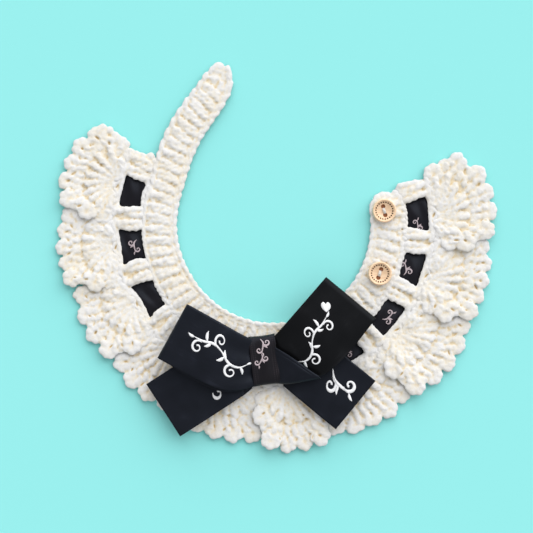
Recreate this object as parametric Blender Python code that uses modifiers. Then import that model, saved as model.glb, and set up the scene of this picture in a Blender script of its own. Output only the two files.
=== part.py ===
"""Crochet pet collar laid flat, face up: a stitched neckband with a pointed button strap, an eyelet
row with a narrow satin ribbon behind its posts, a ruffle of ten shells, a satin bow and two buttons.

Tables and constants are in millimetres and degrees; meshes are made in metres, +Z up from the
surface that the collar lies on. Polar places are measured about the centre of the neck opening.
"""
import math

import bmesh
import bpy

MM = 0.001
GAP = 0.3                      # clear space between pieces that touch
NECK_CENTRE = (-1.99, 19.77)   # centre of the neck opening, from the origin

CLOTH = 5.0                    # thickness of the crochet, worked in 4 mm cotton yarn
CLOTH_EDGE = 4.0               # thickness at its chain edges
SATIN = 1.0                    # wall of a ribbon

# Radii of the rings of work, from the neck outwards
R_NECK = 61.0
R_BAND = 82.0
R_WINDOW = 97.4                # outer end of the windows
R_RIBBON = 98.2                # outer edge of the narrow ribbon
R_RAIL = 102.4                 # outer side of the chain rail
R_SHELL = R_RAIL + GAP         # foot of the ruffle
CHAIN = 3.0                    # width of a chain edge

# Ten windows, evenly spaced round the neck, anticlockwise from +X
WINDOWS = 10
FIRST_WINDOW = 166.3
WINDOW_PITCH = 22.04
WINDOW_HALF = 5.5              # half of a window, in degrees
ROW_START = 152.0              # ends of the eyelet row
ROW_END = 377.5
BAND_END = 377.0               # button end of the neckband
STRAP_START = 165.0            # where the strap leaves the circle
STRAP_DRIFT = 0.22             # how far its outer edge moves out for each degree past that

# The strap, from the circle to its point: centre x and y, heading, width
STRAP = (
    (-64.8, 35.0, 74.0, 22.0),
    (-60.0, 50.5, 67.0, 22.6),
    (-52.2, 65.0, 58.0, 22.8),
    (-42.6, 78.0, 54.0, 22.4),
    (-36.2, 87.2, 60.0, 21.2),
    (-33.9, 93.4, 68.0, 19.0),
    (-32.6, 98.2, 74.0, 14.4),
    (-31.7, 102.4, 78.0, 6.0),
)
STRAP_COLUMNS = ("x", "y", "heading", "width")

# The ruffle's shells. picots: loops along the edge. reach: radius of their tips. back and front:
# spread of the shell in degrees, clockwise and anticlockwise of its window. drop_back and
# drop_front: how much shorter the shell is at those two corners. over_back and over_front: 1 where
# that side lies on top of the next shell.
SHELLS = (
    (1, 5, 138.0, 18.0, 10.0, 14.0, 6.0, 0, 1),
    (2, 5, 137.5, 15.0, 9.3, 8.0, 5.0, 0, 1),
    (3, 6, 137.0, 15.0, 10.5, 8.0, 7.0, 0, 1),
    (4, 5, 136.5, 14.5, 9.8, 7.0, 5.0, 0, 1),
    (5, 6, 139.5, 15.0, 13.8, 9.0, 7.0, 0, 0),
    (6, 4, 143.0, 10.5, 9.4, 7.0, 6.0, 1, 1),
    (7, 6, 141.5, 15.2, 12.5, 9.0, 7.0, 0, 0),
    (8, 6, 143.5, 12.6, 15.5, 9.0, 8.0, 1, 0),
    (9, 5, 140.5, 9.2, 15.5, 5.0, 8.0, 1, 0),
    (10, 6, 141.0, 9.2, 19.0, 5.0, 24.0, 1, 0),
)
SHELL_COLUMNS = (
    "number", "picots", "reach", "back", "front", "drop_back", "drop_front", "over_back",
    "over_front",
)
SHELL_ROWS = (0.0, 0.2, 0.4, 0.7, 1.0)     # from the foot to the picots
PICOT_STEPS = 4
PICOT_DEPTH = 3.4              # depth of the notch between two picots
FOOT_SPREAD = 10.9             # half spread of a shell at its foot
FREE_SPREAD = 17.0             # a side that spreads more than this has no neighbour
FREE_FOOT_SPREAD = 12.5
LAP_RISE = CLOTH + 0.5         # how far a side that lies on top is lifted
LAP_START = 2.8                # degrees from the shell's middle where that lift begins
LAP_FULL = 6.6

# The bow. A row for each section, from the knot outwards: the two ends of the section, and the
# height of the satin's middle there. A loop has a back layer and a front layer.
TAIL_COLUMNS = ("upper_x", "upper_y", "lower_x", "lower_y", "z")
TAIL_LEFT = (
    (-17.2, -74.0, -13.6, -101.6, 7.4),
    (-27.0, -71.5, -17.5, -104.6, 8.8),
    (-40.0, -74.0, -19.4, -105.9, 10.9),
    (-53.5, -82.7, -32.8, -114.6, 11.5),
    (-66.1, -90.9, -45.4, -122.8, 11.5),
    (-79.2, -99.4, -58.6, -131.2, 11.1),
)
TAIL_RIGHT = (
    (2.9, -76.0, 6.2, -100.0, 7.4),
    (20.0, -72.5, 8.6, -101.8, 8.8),
    (36.5, -75.0, 12.5, -105.0, 10.9),
    (46.5, -83.6, 22.0, -112.8, 11.5),
    (55.0, -90.5, 30.5, -119.8, 11.5),
    (63.4, -97.4, 39.2, -126.8, 11.1),
)
LOOP_COLUMNS = ("upper_x", "upper_y", "lower_x", "lower_y", "z", "front_z")
LOOP_LEFT = (
    (-17.3, -70.4, -13.6, -99.4, 10.2, 13.4),
    (-23.0, -65.4, -23.4, -102.3, 12.6, 17.4),
    (-30.0, -61.5, -34.5, -100.4, 13.1, 19.3),
    (-38.0, -57.1, -50.0, -93.2, 13.1, 19.6),
    (-49.8, -50.6, -68.2, -83.8, 13.1, 18.6),
)
LOOP_RIGHT = (
    (2.3, -69.3, 6.2, -97.6, 10.2, 13.4),
    (5.2, -65.4, 18.0, -95.4, 12.6, 17.4),
    (9.0, -60.4, 30.5, -92.3, 13.1, 19.3),
    (16.0, -52.2, 43.8, -81.2, 13.1, 20.0),
    (30.9, -34.6, 60.8, -60.4, 13.1, 19.0),
)
ACROSS = 4                     # facets across a ribbon
FOLD_STEPS = 6                 # facets round the fold at a loop's end

KNOT_CENTRE = (-5.7, -84.5)
KNOT_TURN = 7.9
KNOT_WIDTH = 16.8
KNOT_LENGTH = 29.6
KNOT_LOW = CLOTH + 0.4
KNOT_HIGH = 16.2
KNOT_SIDES = 20

# Wooden buttons: place on the band, turn of the line through the two holes
BUTTONS = (
    ("upper", 69.5, 9.5, 96.0),
    ("lower", 66.7, -29.9, 72.0),
)
BUTTON_COLUMNS = ("name", "x", "y", "turn")
BUTTON_R = 7.5
BUTTON_Z = CLOTH + GAP
BUTTON_PROFILE = (             # radius and height, from the top centre round to the bottom centre
    (0.0, 2.1), (3.6, 2.1), (5.2, 2.9), (5.9, 3.7), (6.6, 3.9), (7.2, 3.5),
    (7.5, 2.7), (7.3, 1.6), (6.2, 0.5), (4.6, 0.0), (0.0, 0.0),
)
BUTTON_STEPS = 32
HOLE_R = 1.05
HOLE_OFFSET = 2.5              # from the button's middle to a hole's
THREAD_R = 0.45

MATERIALS = {                  # colour, roughness, metallic
    "cotton": ((0.92, 0.88, 0.80), 0.9, 0.0),
    "satin": ((0.012, 0.013, 0.017), 0.35, 0.0),
    "wood": ((0.72, 0.50, 0.28), 0.6, 0.0),
    "thread": ((0.90, 0.89, 0.86), 0.7, 0.0),
}


def clear_scene():
    """Remove what the file opened with."""
    for item in list(bpy.data.objects):
        bpy.data.objects.remove(item)


def new_collection(name):
    """A collection linked to the scene."""
    group = bpy.data.collections.new(name)
    bpy.context.scene.collection.children.link(group)
    return group


def new_material(name, kind):
    """A Principled material for one piece."""
    colour, roughness, metallic = MATERIALS[kind]
    material = bpy.data.materials.new(name)
    material.use_nodes = True
    shader = material.node_tree.nodes["Principled BSDF"]
    shader.inputs["Base Color"].default_value = (*colour, 1.0)
    shader.inputs["Roughness"].default_value = roughness
    shader.inputs["Metallic"].default_value = metallic
    return material


def new_object(name, mesh, kind, group):
    """Link a mesh or curve as a named piece with its own material."""
    item = bpy.data.objects.new(name, mesh)
    mesh.materials.append(new_material(name, kind))
    group.objects.link(item)
    return item


def records(columns, table):
    """Rows of a table as dictionaries by column name."""
    return [dict(zip(columns, row)) for row in table]


def smooth(value):
    """Ease from 0 to 1 as value goes from 0 to 1."""
    value = min(max(value, 0.0), 1.0)
    return value * value * (3.0 - 2.0 * value)


def place(x, y, z):
    """A point from the neck centre, in mm, as metres in the frame."""
    return ((NECK_CENTRE[0] + x) * MM, (NECK_CENTRE[1] + y) * MM, z * MM)


def polar(radius, degrees):
    """x and y of a polar place about the neck centre."""
    angle = math.radians(degrees)
    return radius * math.cos(angle), radius * math.sin(angle)


def slab(name, kind, group, grid, keep=None):
    """A closed panel from rows of (x, y, underside, top); keep says which cells are cloth."""
    body = bmesh.new()
    corners = {}

    def corner(row, column, side):
        key = (row, column, side)
        if key not in corners:
            x, y, low, high = grid[row][column]
            corners[key] = body.verts.new(place(x, y, (low, high)[side]))
        return corners[key]

    rims = {}
    for row in range(len(grid) - 1):
        for column in range(len(grid[0]) - 1):
            if keep and not keep(row, column):
                continue
            ring = ((row, column), (row + 1, column), (row + 1, column + 1), (row, column + 1))
            body.faces.new([corner(*spot, 1) for spot in ring])
            body.faces.new([corner(*spot, 0) for spot in reversed(ring)])
            for start, end in zip(ring, ring[1:] + ring[:1]):
                if (end, start) in rims:
                    del rims[(end, start)]
                else:
                    rims[(start, end)] = True
    for start, end in rims:
        body.faces.new((corner(*start, 1), corner(*start, 0), corner(*end, 0), corner(*end, 1)))
    bmesh.ops.recalc_face_normals(body, faces=body.faces)
    mesh = bpy.data.meshes.new(name)
    body.to_mesh(mesh)
    body.free()
    return new_object(name, mesh, kind, group)


def band_stations():
    """Centre x, y, heading and width along the neckband, from the button end to the strap's point."""
    stations = []
    middle = (R_NECK + R_BAND) / 2
    width = R_BAND - R_NECK
    steps = 44
    for step in range(steps + 1):
        degrees = BAND_END + (STRAP_START - BAND_END) * step / steps
        x, y = polar(middle, degrees)
        stations.append((x, y, degrees - 90.0, width))
    stations += [tuple(row[key] for key in STRAP_COLUMNS) for row in records(STRAP_COLUMNS, STRAP)]
    return stations


def make_neckband(group):
    """One row of tall stitches between chain edges; its button end is rounded."""
    rounding = (0.62, 0.88)    # share of the width at the first two stations
    grid = []
    for number, (x, y, heading, width) in enumerate(band_stations()):
        if number < len(rounding):
            width *= rounding[number]
        side = math.radians(heading + 90.0)
        chain = min(CHAIN, width / 4)
        row = []
        for across, top in (
            (-width / 2, CLOTH_EDGE),
            (-width / 2 + chain, CLOTH),
            (width / 2 - chain, CLOTH),
            (width / 2, CLOTH_EDGE),
        ):
            row.append((x + across * math.cos(side), y + across * math.sin(side), 0.0, top))
        grid.append(row)
    return slab("neckband", "cotton", group, grid)


def band_edge(angle):
    """Radius just clear of the neckband's outer edge, which leaves the circle at the strap."""
    return R_BAND + GAP + STRAP_DRIFT * max(0.0, STRAP_START - angle)


def window_angle(number):
    """Angle of the middle of a window, counted from 1."""
    return FIRST_WINDOW + (number - 1) * WINDOW_PITCH


def row_angles():
    """Angles of the sides of every post of the eyelet row, with a step in the middle of each."""
    sides = [ROW_START]
    for number in range(1, WINDOWS + 1):
        sides += [window_angle(number) - WINDOW_HALF, window_angle(number) + WINDOW_HALF]
    sides.append(ROW_END)
    angles = sides[:1]
    for start, end in zip(sides, sides[1:]):
        angles += [(start + end) / 2, end]
    return angles


def make_eyelet_row(group):
    """Posts over the ribbon, joined by the outer rail; the cells between the posts are windows."""
    over_ribbon = SATIN + GAP + 0.1
    over_edge = SATIN + 1.0
    columns = (                # radius, underside, top; the first one follows the neckband
        (None, over_ribbon, CLOTH - 0.2),
        (R_BAND + 5.0, over_ribbon, CLOTH),
        (R_WINDOW, over_edge, CLOTH),
        (R_RIBBON + GAP, over_edge, CLOTH),
        (R_RIBBON + GAP + 0.2, 0.0, CLOTH),
        (R_RAIL, 0.0, CLOTH_EDGE),
    )
    angles = row_angles()
    window_cells = 2           # the first two columns of cells are open in a window

    def keep(row, column):
        if column >= window_cells:
            return True
        middle = (angles[row] + angles[row + 1]) / 2
        number = (middle - FIRST_WINDOW) / WINDOW_PITCH
        nearest = min(max(round(number), 0), WINDOWS - 1)
        return abs(middle - window_angle(nearest + 1)) > WINDOW_HALF

    grid = []
    for angle in angles:
        inner = band_edge(angle) + 0.1
        grid.append([(*polar(radius or inner, angle), low, high) for radius, low, high in columns])
    return slab("eyelet_row", "cotton", group, grid, keep)


def make_woven_ribbon(group):
    """Narrow satin behind the posts, bulging up a little in every window."""
    bulge = 2.0
    grid = []
    start = ROW_START + 2.0
    end = ROW_END - 1.5
    steps = 90
    for step in range(steps + 1):
        angle = start + (end - start) * step / steps
        offset = (angle - FIRST_WINDOW + WINDOW_PITCH / 2) % WINDOW_PITCH - WINDOW_PITCH / 2
        lift = bulge * smooth(1.0 - abs(offset) / (WINDOW_HALF - 0.6))
        if angle < FIRST_WINDOW - WINDOW_HALF or angle > window_angle(WINDOWS) + WINDOW_HALF:
            lift = 0.0
        inner = band_edge(angle)
        row = []
        for across in (0.0, 0.5, 1.0):
            low = lift * 4.0 * across * (1.0 - across)
            row.append((*polar(inner + across * (R_RIBBON - inner), angle), low, low + SATIN))
        grid.append(row)
    return slab("woven_ribbon", "satin", group, grid)


def shell_lift(offset, share, shell):
    """Height of a shell's underside at an angle from its middle, at a share of the way out."""
    over = shell["over_front"] if offset > 0 else shell["over_back"]
    climb = smooth((abs(offset) - LAP_START) / (LAP_FULL - LAP_START))
    return over * LAP_RISE * climb * smooth(share / SHELL_ROWS[2])


def make_shell(shell, group):
    """One shell of the ruffle: a fan of tall stitches from its window, edged with picots."""
    middle = window_angle(shell["number"])
    foot = {
        side: FREE_FOOT_SPREAD if shell[side] > FREE_SPREAD else FOOT_SPREAD
        for side in ("back", "front")
    }
    columns = shell["picots"] * PICOT_STEPS
    grid = []
    for share in SHELL_ROWS:
        opening = smooth((share - SHELL_ROWS[2]) / 0.3)
        row = []
        for column in range(columns + 1):
            turn = column / columns
            rim = turn * (shell["back"] + shell["front"]) - shell["back"]
            start = turn * (foot["back"] + foot["front"]) - foot["back"]
            offset = start + (rim - start) * opening
            side = "front" if rim > 0 else "back"
            reach = shell["reach"] - shell[f"drop_{side}"] * abs(rim / shell[side]) ** 3
            notch = 1.0 - abs(math.sin(shell["picots"] * math.pi * turn)) ** 0.7
            reach -= PICOT_DEPTH * notch
            radius = R_SHELL + share * (reach - R_SHELL)
            low = shell_lift(offset, share, shell)
            thick = CLOTH - (CLOTH - CLOTH_EDGE) * max(0.0, share - 0.7) / 0.3
            row.append((*polar(radius, middle + offset), low, low + thick))
        grid.append(row)
    return slab(f"fan_{shell['number']:02d}", "cotton", group, grid)


def ribbon(name, group, sections):
    """A satin strip through sections, each the two ends of a line in x, y, z, given its wall."""
    sheet = bmesh.new()
    rows = []
    for start, end in sections:
        row = []
        for step in range(ACROSS + 1):
            share = step / ACROSS
            point = [a + (b - a) * share for a, b in zip(start, end)]
            row.append(sheet.verts.new(place(*point)))
        rows.append(row)
    for low, high in zip(rows, rows[1:]):
        for step in range(ACROSS):
            sheet.faces.new((low[step], low[step + 1], high[step + 1], high[step]))
    mesh = bpy.data.meshes.new(name)
    sheet.to_mesh(mesh)
    sheet.free()
    item = new_object(name, mesh, "satin", group)
    wall = item.modifiers.new("wall", "SOLIDIFY")
    wall.thickness = SATIN * MM
    wall.offset = 0.0
    wall.use_even_offset = True
    return item


def section(row, key):
    """Both ends of a bow section at the height in the named column."""
    upper = (row["upper_x"], row["upper_y"], row[key])
    lower = (row["lower_x"], row["lower_y"], row[key])
    return upper, lower


def make_tail(name, table, group):
    """A free end of the bow, lying over the ruffle."""
    rows = records(TAIL_COLUMNS, table)
    return ribbon(name, group, [section(row, "z") for row in rows])


def make_loop(name, table, group):
    """A loop of the bow: out along the back layer, round the fold, home along the front layer."""
    rows = records(LOOP_COLUMNS, table)
    back = [section(row, "z") for row in rows]
    front = [section(row, "front_z") for row in reversed(rows)]
    last, before = rows[-1], rows[-2]
    radius = (last["front_z"] - last["z"]) / 2
    across = (last["lower_x"] - last["upper_x"], last["lower_y"] - last["upper_y"])
    width = math.hypot(*across)
    outward = [across[1] / width, -across[0] / width]
    along = last["upper_x"] - before["upper_x"]
    if outward[0] * along < 0:
        outward = [-value for value in outward]
    fold = []
    for step in range(1, FOLD_STEPS):
        turn = math.pi * step / FOLD_STEPS
        push = radius * math.sin(turn)
        lift = radius * (1.0 - math.cos(turn))
        ends = []
        for side in ("upper", "lower"):
            x = last[f"{side}_x"] + outward[0] * push
            y = last[f"{side}_y"] + outward[1] * push
            ends.append((x, y, last["z"] + lift))
        fold.append(tuple(ends))
    return ribbon(name, group, back + fold + front)


def make_knot(group):
    """The wrap round the gathers: a rounded block, since its layers are hidden."""
    turn = math.radians(KNOT_TURN)
    middle_z = (KNOT_LOW + KNOT_HIGH) / 2
    half_z = (KNOT_HIGH - KNOT_LOW) / 2
    body = bmesh.new()
    rings = []
    for across in (-KNOT_WIDTH / 2, KNOT_WIDTH / 2):
        ring = []
        for step in range(KNOT_SIDES):
            angle = 2.0 * math.pi * step / KNOT_SIDES
            along = math.copysign(abs(math.cos(angle)) ** 0.35, math.cos(angle)) * KNOT_LENGTH / 2
            height = math.copysign(abs(math.sin(angle)) ** 0.55, math.sin(angle)) * half_z
            x = KNOT_CENTRE[0] + across * math.cos(turn) - along * math.sin(turn)
            y = KNOT_CENTRE[1] + across * math.sin(turn) + along * math.cos(turn)
            ring.append(body.verts.new(place(x, y, middle_z + height)))
        rings.append(ring)
    for step in range(KNOT_SIDES):
        after = (step + 1) % KNOT_SIDES
        body.faces.new((rings[0][step], rings[0][after], rings[1][after], rings[1][step]))
    body.faces.new(rings[0])
    body.faces.new(rings[1])
    bmesh.ops.recalc_face_normals(body, faces=body.faces)
    mesh = bpy.data.meshes.new("bow_knot")
    body.to_mesh(mesh)
    body.free()
    return new_object("bow_knot", mesh, "satin", group)


def make_button(button, group, cutters):
    """A turned wooden button with a dished face, and its two holes."""
    name = f"button_{button['name']}"
    mesh = bpy.data.meshes.new(name)
    points = [(radius * MM, 0.0, height * MM) for radius, height in BUTTON_PROFILE]
    mesh.from_pydata(points, [(at, at + 1) for at in range(len(points) - 1)], [])
    item = new_object(name, mesh, "wood", group)
    item.location = place(button["x"], button["y"], BUTTON_Z)
    turned = item.modifiers.new("turned", "SCREW")
    turned.steps = BUTTON_STEPS
    turned.render_steps = BUTTON_STEPS
    turned.use_merge_vertices = True
    turned.merge_threshold = 0.00001
    for sign in (-1, 1):
        bpy.ops.mesh.primitive_cylinder_add(vertices=12, radius=HOLE_R * MM, depth=12.0 * MM)
        cutter = bpy.context.object
        cutter.name = f"{name}_hole_{'ab'[sign > 0]}"
        for owner in list(cutter.users_collection):
            owner.objects.unlink(cutter)
        cutters.objects.link(cutter)
        angle = math.radians(button["turn"])
        x = button["x"] + sign * HOLE_OFFSET * math.cos(angle)
        y = button["y"] + sign * HOLE_OFFSET * math.sin(angle)
        cutter.location = place(x, y, BUTTON_Z)
        cutter.hide_render = True
        cutter.display_type = "WIRE"
        cut = item.modifiers.new("hole", "BOOLEAN")
        cut.operation = "DIFFERENCE"
        cut.object = cutter
    return item


def make_thread(button, group):
    """The stitch that holds a button: across its face and down through both holes."""
    name = f"button_thread_{button['name']}"
    top = BUTTON_Z + BUTTON_PROFILE[0][1] + GAP + THREAD_R
    low = BUTTON_Z + 0.3
    path = (
        (-HOLE_OFFSET, low), (-HOLE_OFFSET, top - 0.7), (-HOLE_OFFSET + 0.6, top),
        (HOLE_OFFSET - 0.6, top), (HOLE_OFFSET, top - 0.7), (HOLE_OFFSET, low),
    )
    curve = bpy.data.curves.new(name, "CURVE")
    curve.dimensions = "3D"
    curve.bevel_depth = THREAD_R * MM
    curve.bevel_resolution = 2
    curve.use_fill_caps = True
    line = curve.splines.new("POLY")
    line.points.add(len(path) - 1)
    angle = math.radians(button["turn"])
    for point, (along, height) in zip(line.points, path):
        x = button["x"] + along * math.cos(angle)
        y = button["y"] + along * math.sin(angle)
        point.co = (*place(x, y, height), 1.0)
    return new_object(name, curve, "thread", group)


def main():
    """Build every piece of the collar."""
    clear_scene()
    group = new_collection("crochet_pet_collar")
    cutters = new_collection("cutters")
    make_neckband(group)
    make_eyelet_row(group)
    make_woven_ribbon(group)
    for shell in records(SHELL_COLUMNS, SHELLS):
        make_shell(shell, group)
    make_tail("bow_tail_left", TAIL_LEFT, group)
    make_tail("bow_tail_right", TAIL_RIGHT, group)
    make_loop("bow_loop_left", LOOP_LEFT, group)
    make_loop("bow_loop_right", LOOP_RIGHT, group)
    make_knot(group)
    for button in records(BUTTON_COLUMNS, BUTTONS):
        make_button(button, group, cutters)
        make_thread(button, group)


main()
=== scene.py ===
"""Looks of a crochet pet collar laid flat: plied cotton stitches, black satin ribbons, wooden buttons.

Sizes are in millimetres and degrees, about the centre of the neck opening, as in the part's own
construction; meshes are made in metres in the frame's axes, +Z up from the surface.
"""
import math
import random

import bmesh
import bpy
import numpy as np
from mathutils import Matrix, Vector


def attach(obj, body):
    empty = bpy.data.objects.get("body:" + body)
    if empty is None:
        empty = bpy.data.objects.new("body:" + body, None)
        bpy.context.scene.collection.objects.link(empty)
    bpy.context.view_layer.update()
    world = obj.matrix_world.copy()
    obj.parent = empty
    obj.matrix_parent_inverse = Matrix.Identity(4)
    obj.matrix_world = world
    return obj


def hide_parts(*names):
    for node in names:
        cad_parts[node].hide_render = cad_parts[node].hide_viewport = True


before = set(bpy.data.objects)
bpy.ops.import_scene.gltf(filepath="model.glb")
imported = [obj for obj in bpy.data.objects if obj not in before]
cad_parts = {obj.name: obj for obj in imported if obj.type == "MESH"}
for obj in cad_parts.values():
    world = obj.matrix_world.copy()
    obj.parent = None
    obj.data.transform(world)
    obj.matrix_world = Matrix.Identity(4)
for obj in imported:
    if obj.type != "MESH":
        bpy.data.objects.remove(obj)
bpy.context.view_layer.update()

MM = 0.001
TAU = 2.0 * math.pi
NECK_CENTRE = (-1.99, 19.77)   # in the frame

# Radii: the neck, the outer edges of the band and of the narrow ribbon, the chain rail outside the
# windows, and the foot of the shells
R_NECK, R_BAND, R_RIBBON, R_RAIL = 61.0, 82.0, 98.2, 102.4
R_SHELL = R_RAIL + 0.3

# Angles, anticlockwise from +X: the windows, the row's and the band's ends, and where the strap starts;
# before that the strap drifts outwards, by so much for each degree
WINDOWS, FIRST_WINDOW, WINDOW_PITCH, WINDOW_HALF = 10, 166.3, 22.04, 5.5
WINDOW_R, WINDOW_DEEP = 90.0, 15.0  # a window's middle radius, and its size outwards
ROW_START, ROW_END = 152.0, 377.5
BAND_END, STRAP_START, STRAP_DRIFT = 377.0, 165.0, 0.22
BAND_ROWS, BAND_STITCHES = 45, 51  # stations on the band's circle, and its tall stitches

# The strap, from the circle to its point: centre x and y, heading, width
STRAP = (
    (-64.8, 35.0, 74.0, 22.0),
    (-60.0, 50.5, 67.0, 22.6),
    (-52.2, 65.0, 58.0, 22.8),
    (-42.6, 78.0, 54.0, 22.4),
    (-36.2, 87.2, 60.0, 21.2),
    (-33.9, 93.4, 68.0, 19.0),
    (-32.6, 98.2, 74.0, 14.4),
    (-31.7, 102.4, 78.0, 6.0),
)

# The shells of the ruffle: how many picots, how far the rim reaches from the neck centre, and for the
# side behind (clockwise) and the side in front its spread in degrees, how much its rim drops and how
# far it lies over its neighbour, from 0 (under it) to 1
SHELLS = (
    (1, 5, 138.0, 18.0, 10.0, 14.0, 6.0, 0, 0.8),
    (2, 5, 137.5, 15.0, 9.3, 8.0, 5.0, 0, 0.8),
    (3, 4, 137.0, 15.0, 10.5, 8.0, 7.0, 0, 0.7),
    (4, 4, 136.5, 14.5, 9.8, 7.0, 5.0, 0, 0.8),
    (5, 5, 139.5, 15.0, 13.8, 9.0, 7.0, 0, 0),
    (6, 4, 143.0, 10.5, 9.4, 7.0, 6.0, 1, 1),
    (7, 5, 141.5, 15.2, 12.5, 9.0, 7.0, 0, 0),
    (8, 5, 143.5, 12.6, 15.5, 9.0, 8.0, 1, 0),
    (9, 5, 140.5, 9.2, 15.5, 5.0, 8.0, 0.85, 0),
    (10, 5, 141.0, 9.2, 19.0, 5.0, 24.0, 0.85, 0),
)
SHELL_COLUMNS = (
    "number", "picots", "reach", "back", "front", "drop_back", "drop_front", "over_back",
    "over_front",
)
SHELL_POSTS = 10               # tall stitches in a shell
FREE_SPREAD = 17.0             # a side that spreads further has no neighbour and lies free
LAP_RISE, LAP_SINK = 3.3, 1.2  # how far a lapping side stands up, and a lapped one goes down
LAP_START, LAP_FULL = 2.8, 7.4  # degrees from a shell's middle between which it does so

# Knots on the free side of the first shell, beside the strap: radius and angle
FREE_KNOTS = (
    (124.0, 150.0), (119.6, 149.7), (115.0, 150.3), (110.6, 151.4), (106.4, 153.0), (121.6, 152.4),
    (117.0, 152.3), (112.6, 153.4), (108.4, 155.0), (103.8, 153.0), (106.2, 150.9),
)

# How far the rail by each window is pulled in, and each pair of stitches after it turned, by number
RAIL_PULL = (0.0, 1.1, 2.4, 1.4, 0.4, 0.0, 0.0, 0.0, 0.3, 0.2)
PAIR_TURN = (-0.4, -0.6, -0.5, -0.2, 0.0, 0.3, 1.1, 1.1, 0.4)

# The bow's loops and free ends, from the knot outwards: both edges, and heights of the layers
LOOP_COLUMNS = ("upper_x", "upper_y", "lower_x", "lower_y", "z", "front_z")
LEFT_LOOP = (
    (-11.0, -72.9, -10.4, -99.2, 10.2, 13.4),
    (-19.5, -68.5, -23.4, -102.0, 12.6, 17.4),
    (-28.0, -63.8, -34.5, -100.4, 13.1, 19.3),
    (-38.0, -58.2, -50.0, -93.4, 13.1, 19.6),
    (-50.4, -51.3, -68.2, -83.8, 13.1, 18.6),
)
RIGHT_LOOP = (
    (-2.5, -73.0, 6.2, -97.6, 10.2, 13.4),
    (3.4, -66.4, 18.0, -95.4, 12.6, 17.4),
    (9.0, -60.1, 30.5, -92.3, 13.1, 19.3),
    (16.0, -52.1, 43.8, -81.2, 13.1, 20.0),
    (30.4, -35.6, 60.6, -60.6, 13.1, 19.0),
)
TAIL_COLUMNS = ("upper_x", "upper_y", "lower_x", "lower_y", "z")
LEFT_TAIL = (
    (-17.2, -74.0, -13.6, -101.6, 7.4),
    (-27.0, -71.5, -17.5, -104.6, 8.8),
    (-40.0, -74.0, -19.4, -105.9, 10.9),
    (-53.5, -82.7, -32.8, -114.6, 11.5),
    (-66.1, -90.9, -45.4, -122.8, 11.5),
    (-79.2, -99.4, -58.6, -131.2, 11.1),
)
RIGHT_TAIL = (
    (2.9, -76.0, 6.2, -100.0, 7.4),
    (20.0, -72.5, 8.6, -101.8, 8.8),
    (36.5, -75.0, 12.5, -105.0, 10.9),
    (46.5, -83.6, 22.0, -112.8, 11.5),
    (55.0, -90.5, 30.5, -119.8, 11.5),
    (63.4, -97.4, 39.2, -126.8, 11.1),
)

# The fold over the right loop's lower corner, from the knot to its tip
RIGHT_FOLD = (
    (-1.5, -74.6, 2.8, -97.9, 13.9),
    (2.6, -77.0, 8.6, -98.0, 16.6),
    (10.2, -81.6, 16.0, -96.8, 18.8),
    (18.2, -87.2, 22.6, -95.5, 20.0),
    (24.6, -91.6, 26.6, -94.7, 20.5),
    (28.2, -93.7, 29.0, -94.6, 20.6),
)

# The wrap: its middle, turn, width along the bow and length across it, then its lowest and highest
KNOT_CENTRE, KNOT_TURN, KNOT_WIDTH, KNOT_LENGTH = (-5.7, -84.0), 7.2, 16.6, 31.0
KNOT_LOW, KNOT_HIGH = 5.4, 16.2

WIDE_RIBBON, NARROW_RIBBON = 38.0, 16.0
SATIN = 0.45                   # thickness of a ribbon
INK_TOP = 0.3                  # how far the top of the print is from the ribbon's middle
EDGE = 0.5                     # how far a ribbon reaches past its construction lines
PRESS = 1.3                    # how far a loop's pressed end reaches past its construction
WOVEN_START, WOVEN_END = 154.0, 376.0  # angles of the narrow ribbon's ends
WOVEN_REST, WOVEN_RISE = 0.55, 1.6  # its height under the stitches, and how far it rises in a window

# The buttons: name, centre x and y, and the angle of the line through their holes
BUTTONS = (("upper", 69.5, 9.5, 104.0), ("lower", 66.7, -29.9, 71.0))
BUTTON_Z, BUTTON_HOLE_R, BUTTON_HOLE_OFFSET = 5.3, 1.35, 2.65
BUTTON_SIDES = 96

# The turned button, from the middle of its dish over the rim to its underside: radius and height
BUTTON_PROFILE = (
    (0.0, 1.10), (1.5, 1.15), (3.0, 1.36), (4.2, 1.75), (5.0, 2.20), (5.6, 2.72), (5.95, 3.2), (6.2, 3.62),
    (6.5, 3.84), (6.85, 3.88), (7.15, 3.7), (7.38, 3.3), (7.48, 2.7), (7.48, 1.6), (7.3, 0.9), (6.7, 0.35),
    (5.6, 0.0), (0.0, 0.0),
)

SIDES = 14                     # facets round a strand of yarn
STEP = 0.9                     # length of a facet along it
PLIES, PLY_DEPTH = 3, 0.09     # plies that show, and how deep the grooves between them are
SWAY = 0.25                    # how far a stitch's strands stray from their course
FUSE = 0.55                    # cell in which touching strands grow together
FLUFF = 0.34                   # how unevenly the yarn's surface lies

# The surface under the collar, the camera, and the light: one broad sun and the sky round it
FLOOR_COLOUR = (0.28, 0.785, 0.775)
CAMERA_SPOT, LENS, SENSOR = (-0.0064, -0.00575, 0.936), 100.0, 36.0
SUN_SPOT, SUN_SPREAD, SUN_POWER, SUN_COLOUR = (0.365, 0.807, 0.464), 90.0, 3.52, (1.0, 0.992, 0.98)
SKY_POWER = 0.575


def records(columns, table):
    """Rows of a table as dictionaries by column name."""
    return [dict(zip(columns, row)) for row in table]


def smooth(value):
    """Ease from 0 to 1 as value goes from 0 to 1."""
    value = np.clip(value, 0.0, 1.0)
    return value * value * (3.0 - 2.0 * value)


def polar(radius, degrees):
    """x and y of a polar place about the neck centre."""
    angle = np.radians(degrees)
    return radius * np.cos(angle), radius * np.sin(angle)


def window_angle(number):
    """Angle of the middle of a window, counted from 1."""
    return FIRST_WINDOW + (number - 1) * WINDOW_PITCH


def rail_pull(number, offset=0.0):
    """How far the rail by a window is pulled in, some degrees from the window's middle."""
    return RAIL_PULL[number - 1] * math.exp(-(offset / 6.0) ** 4)


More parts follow.
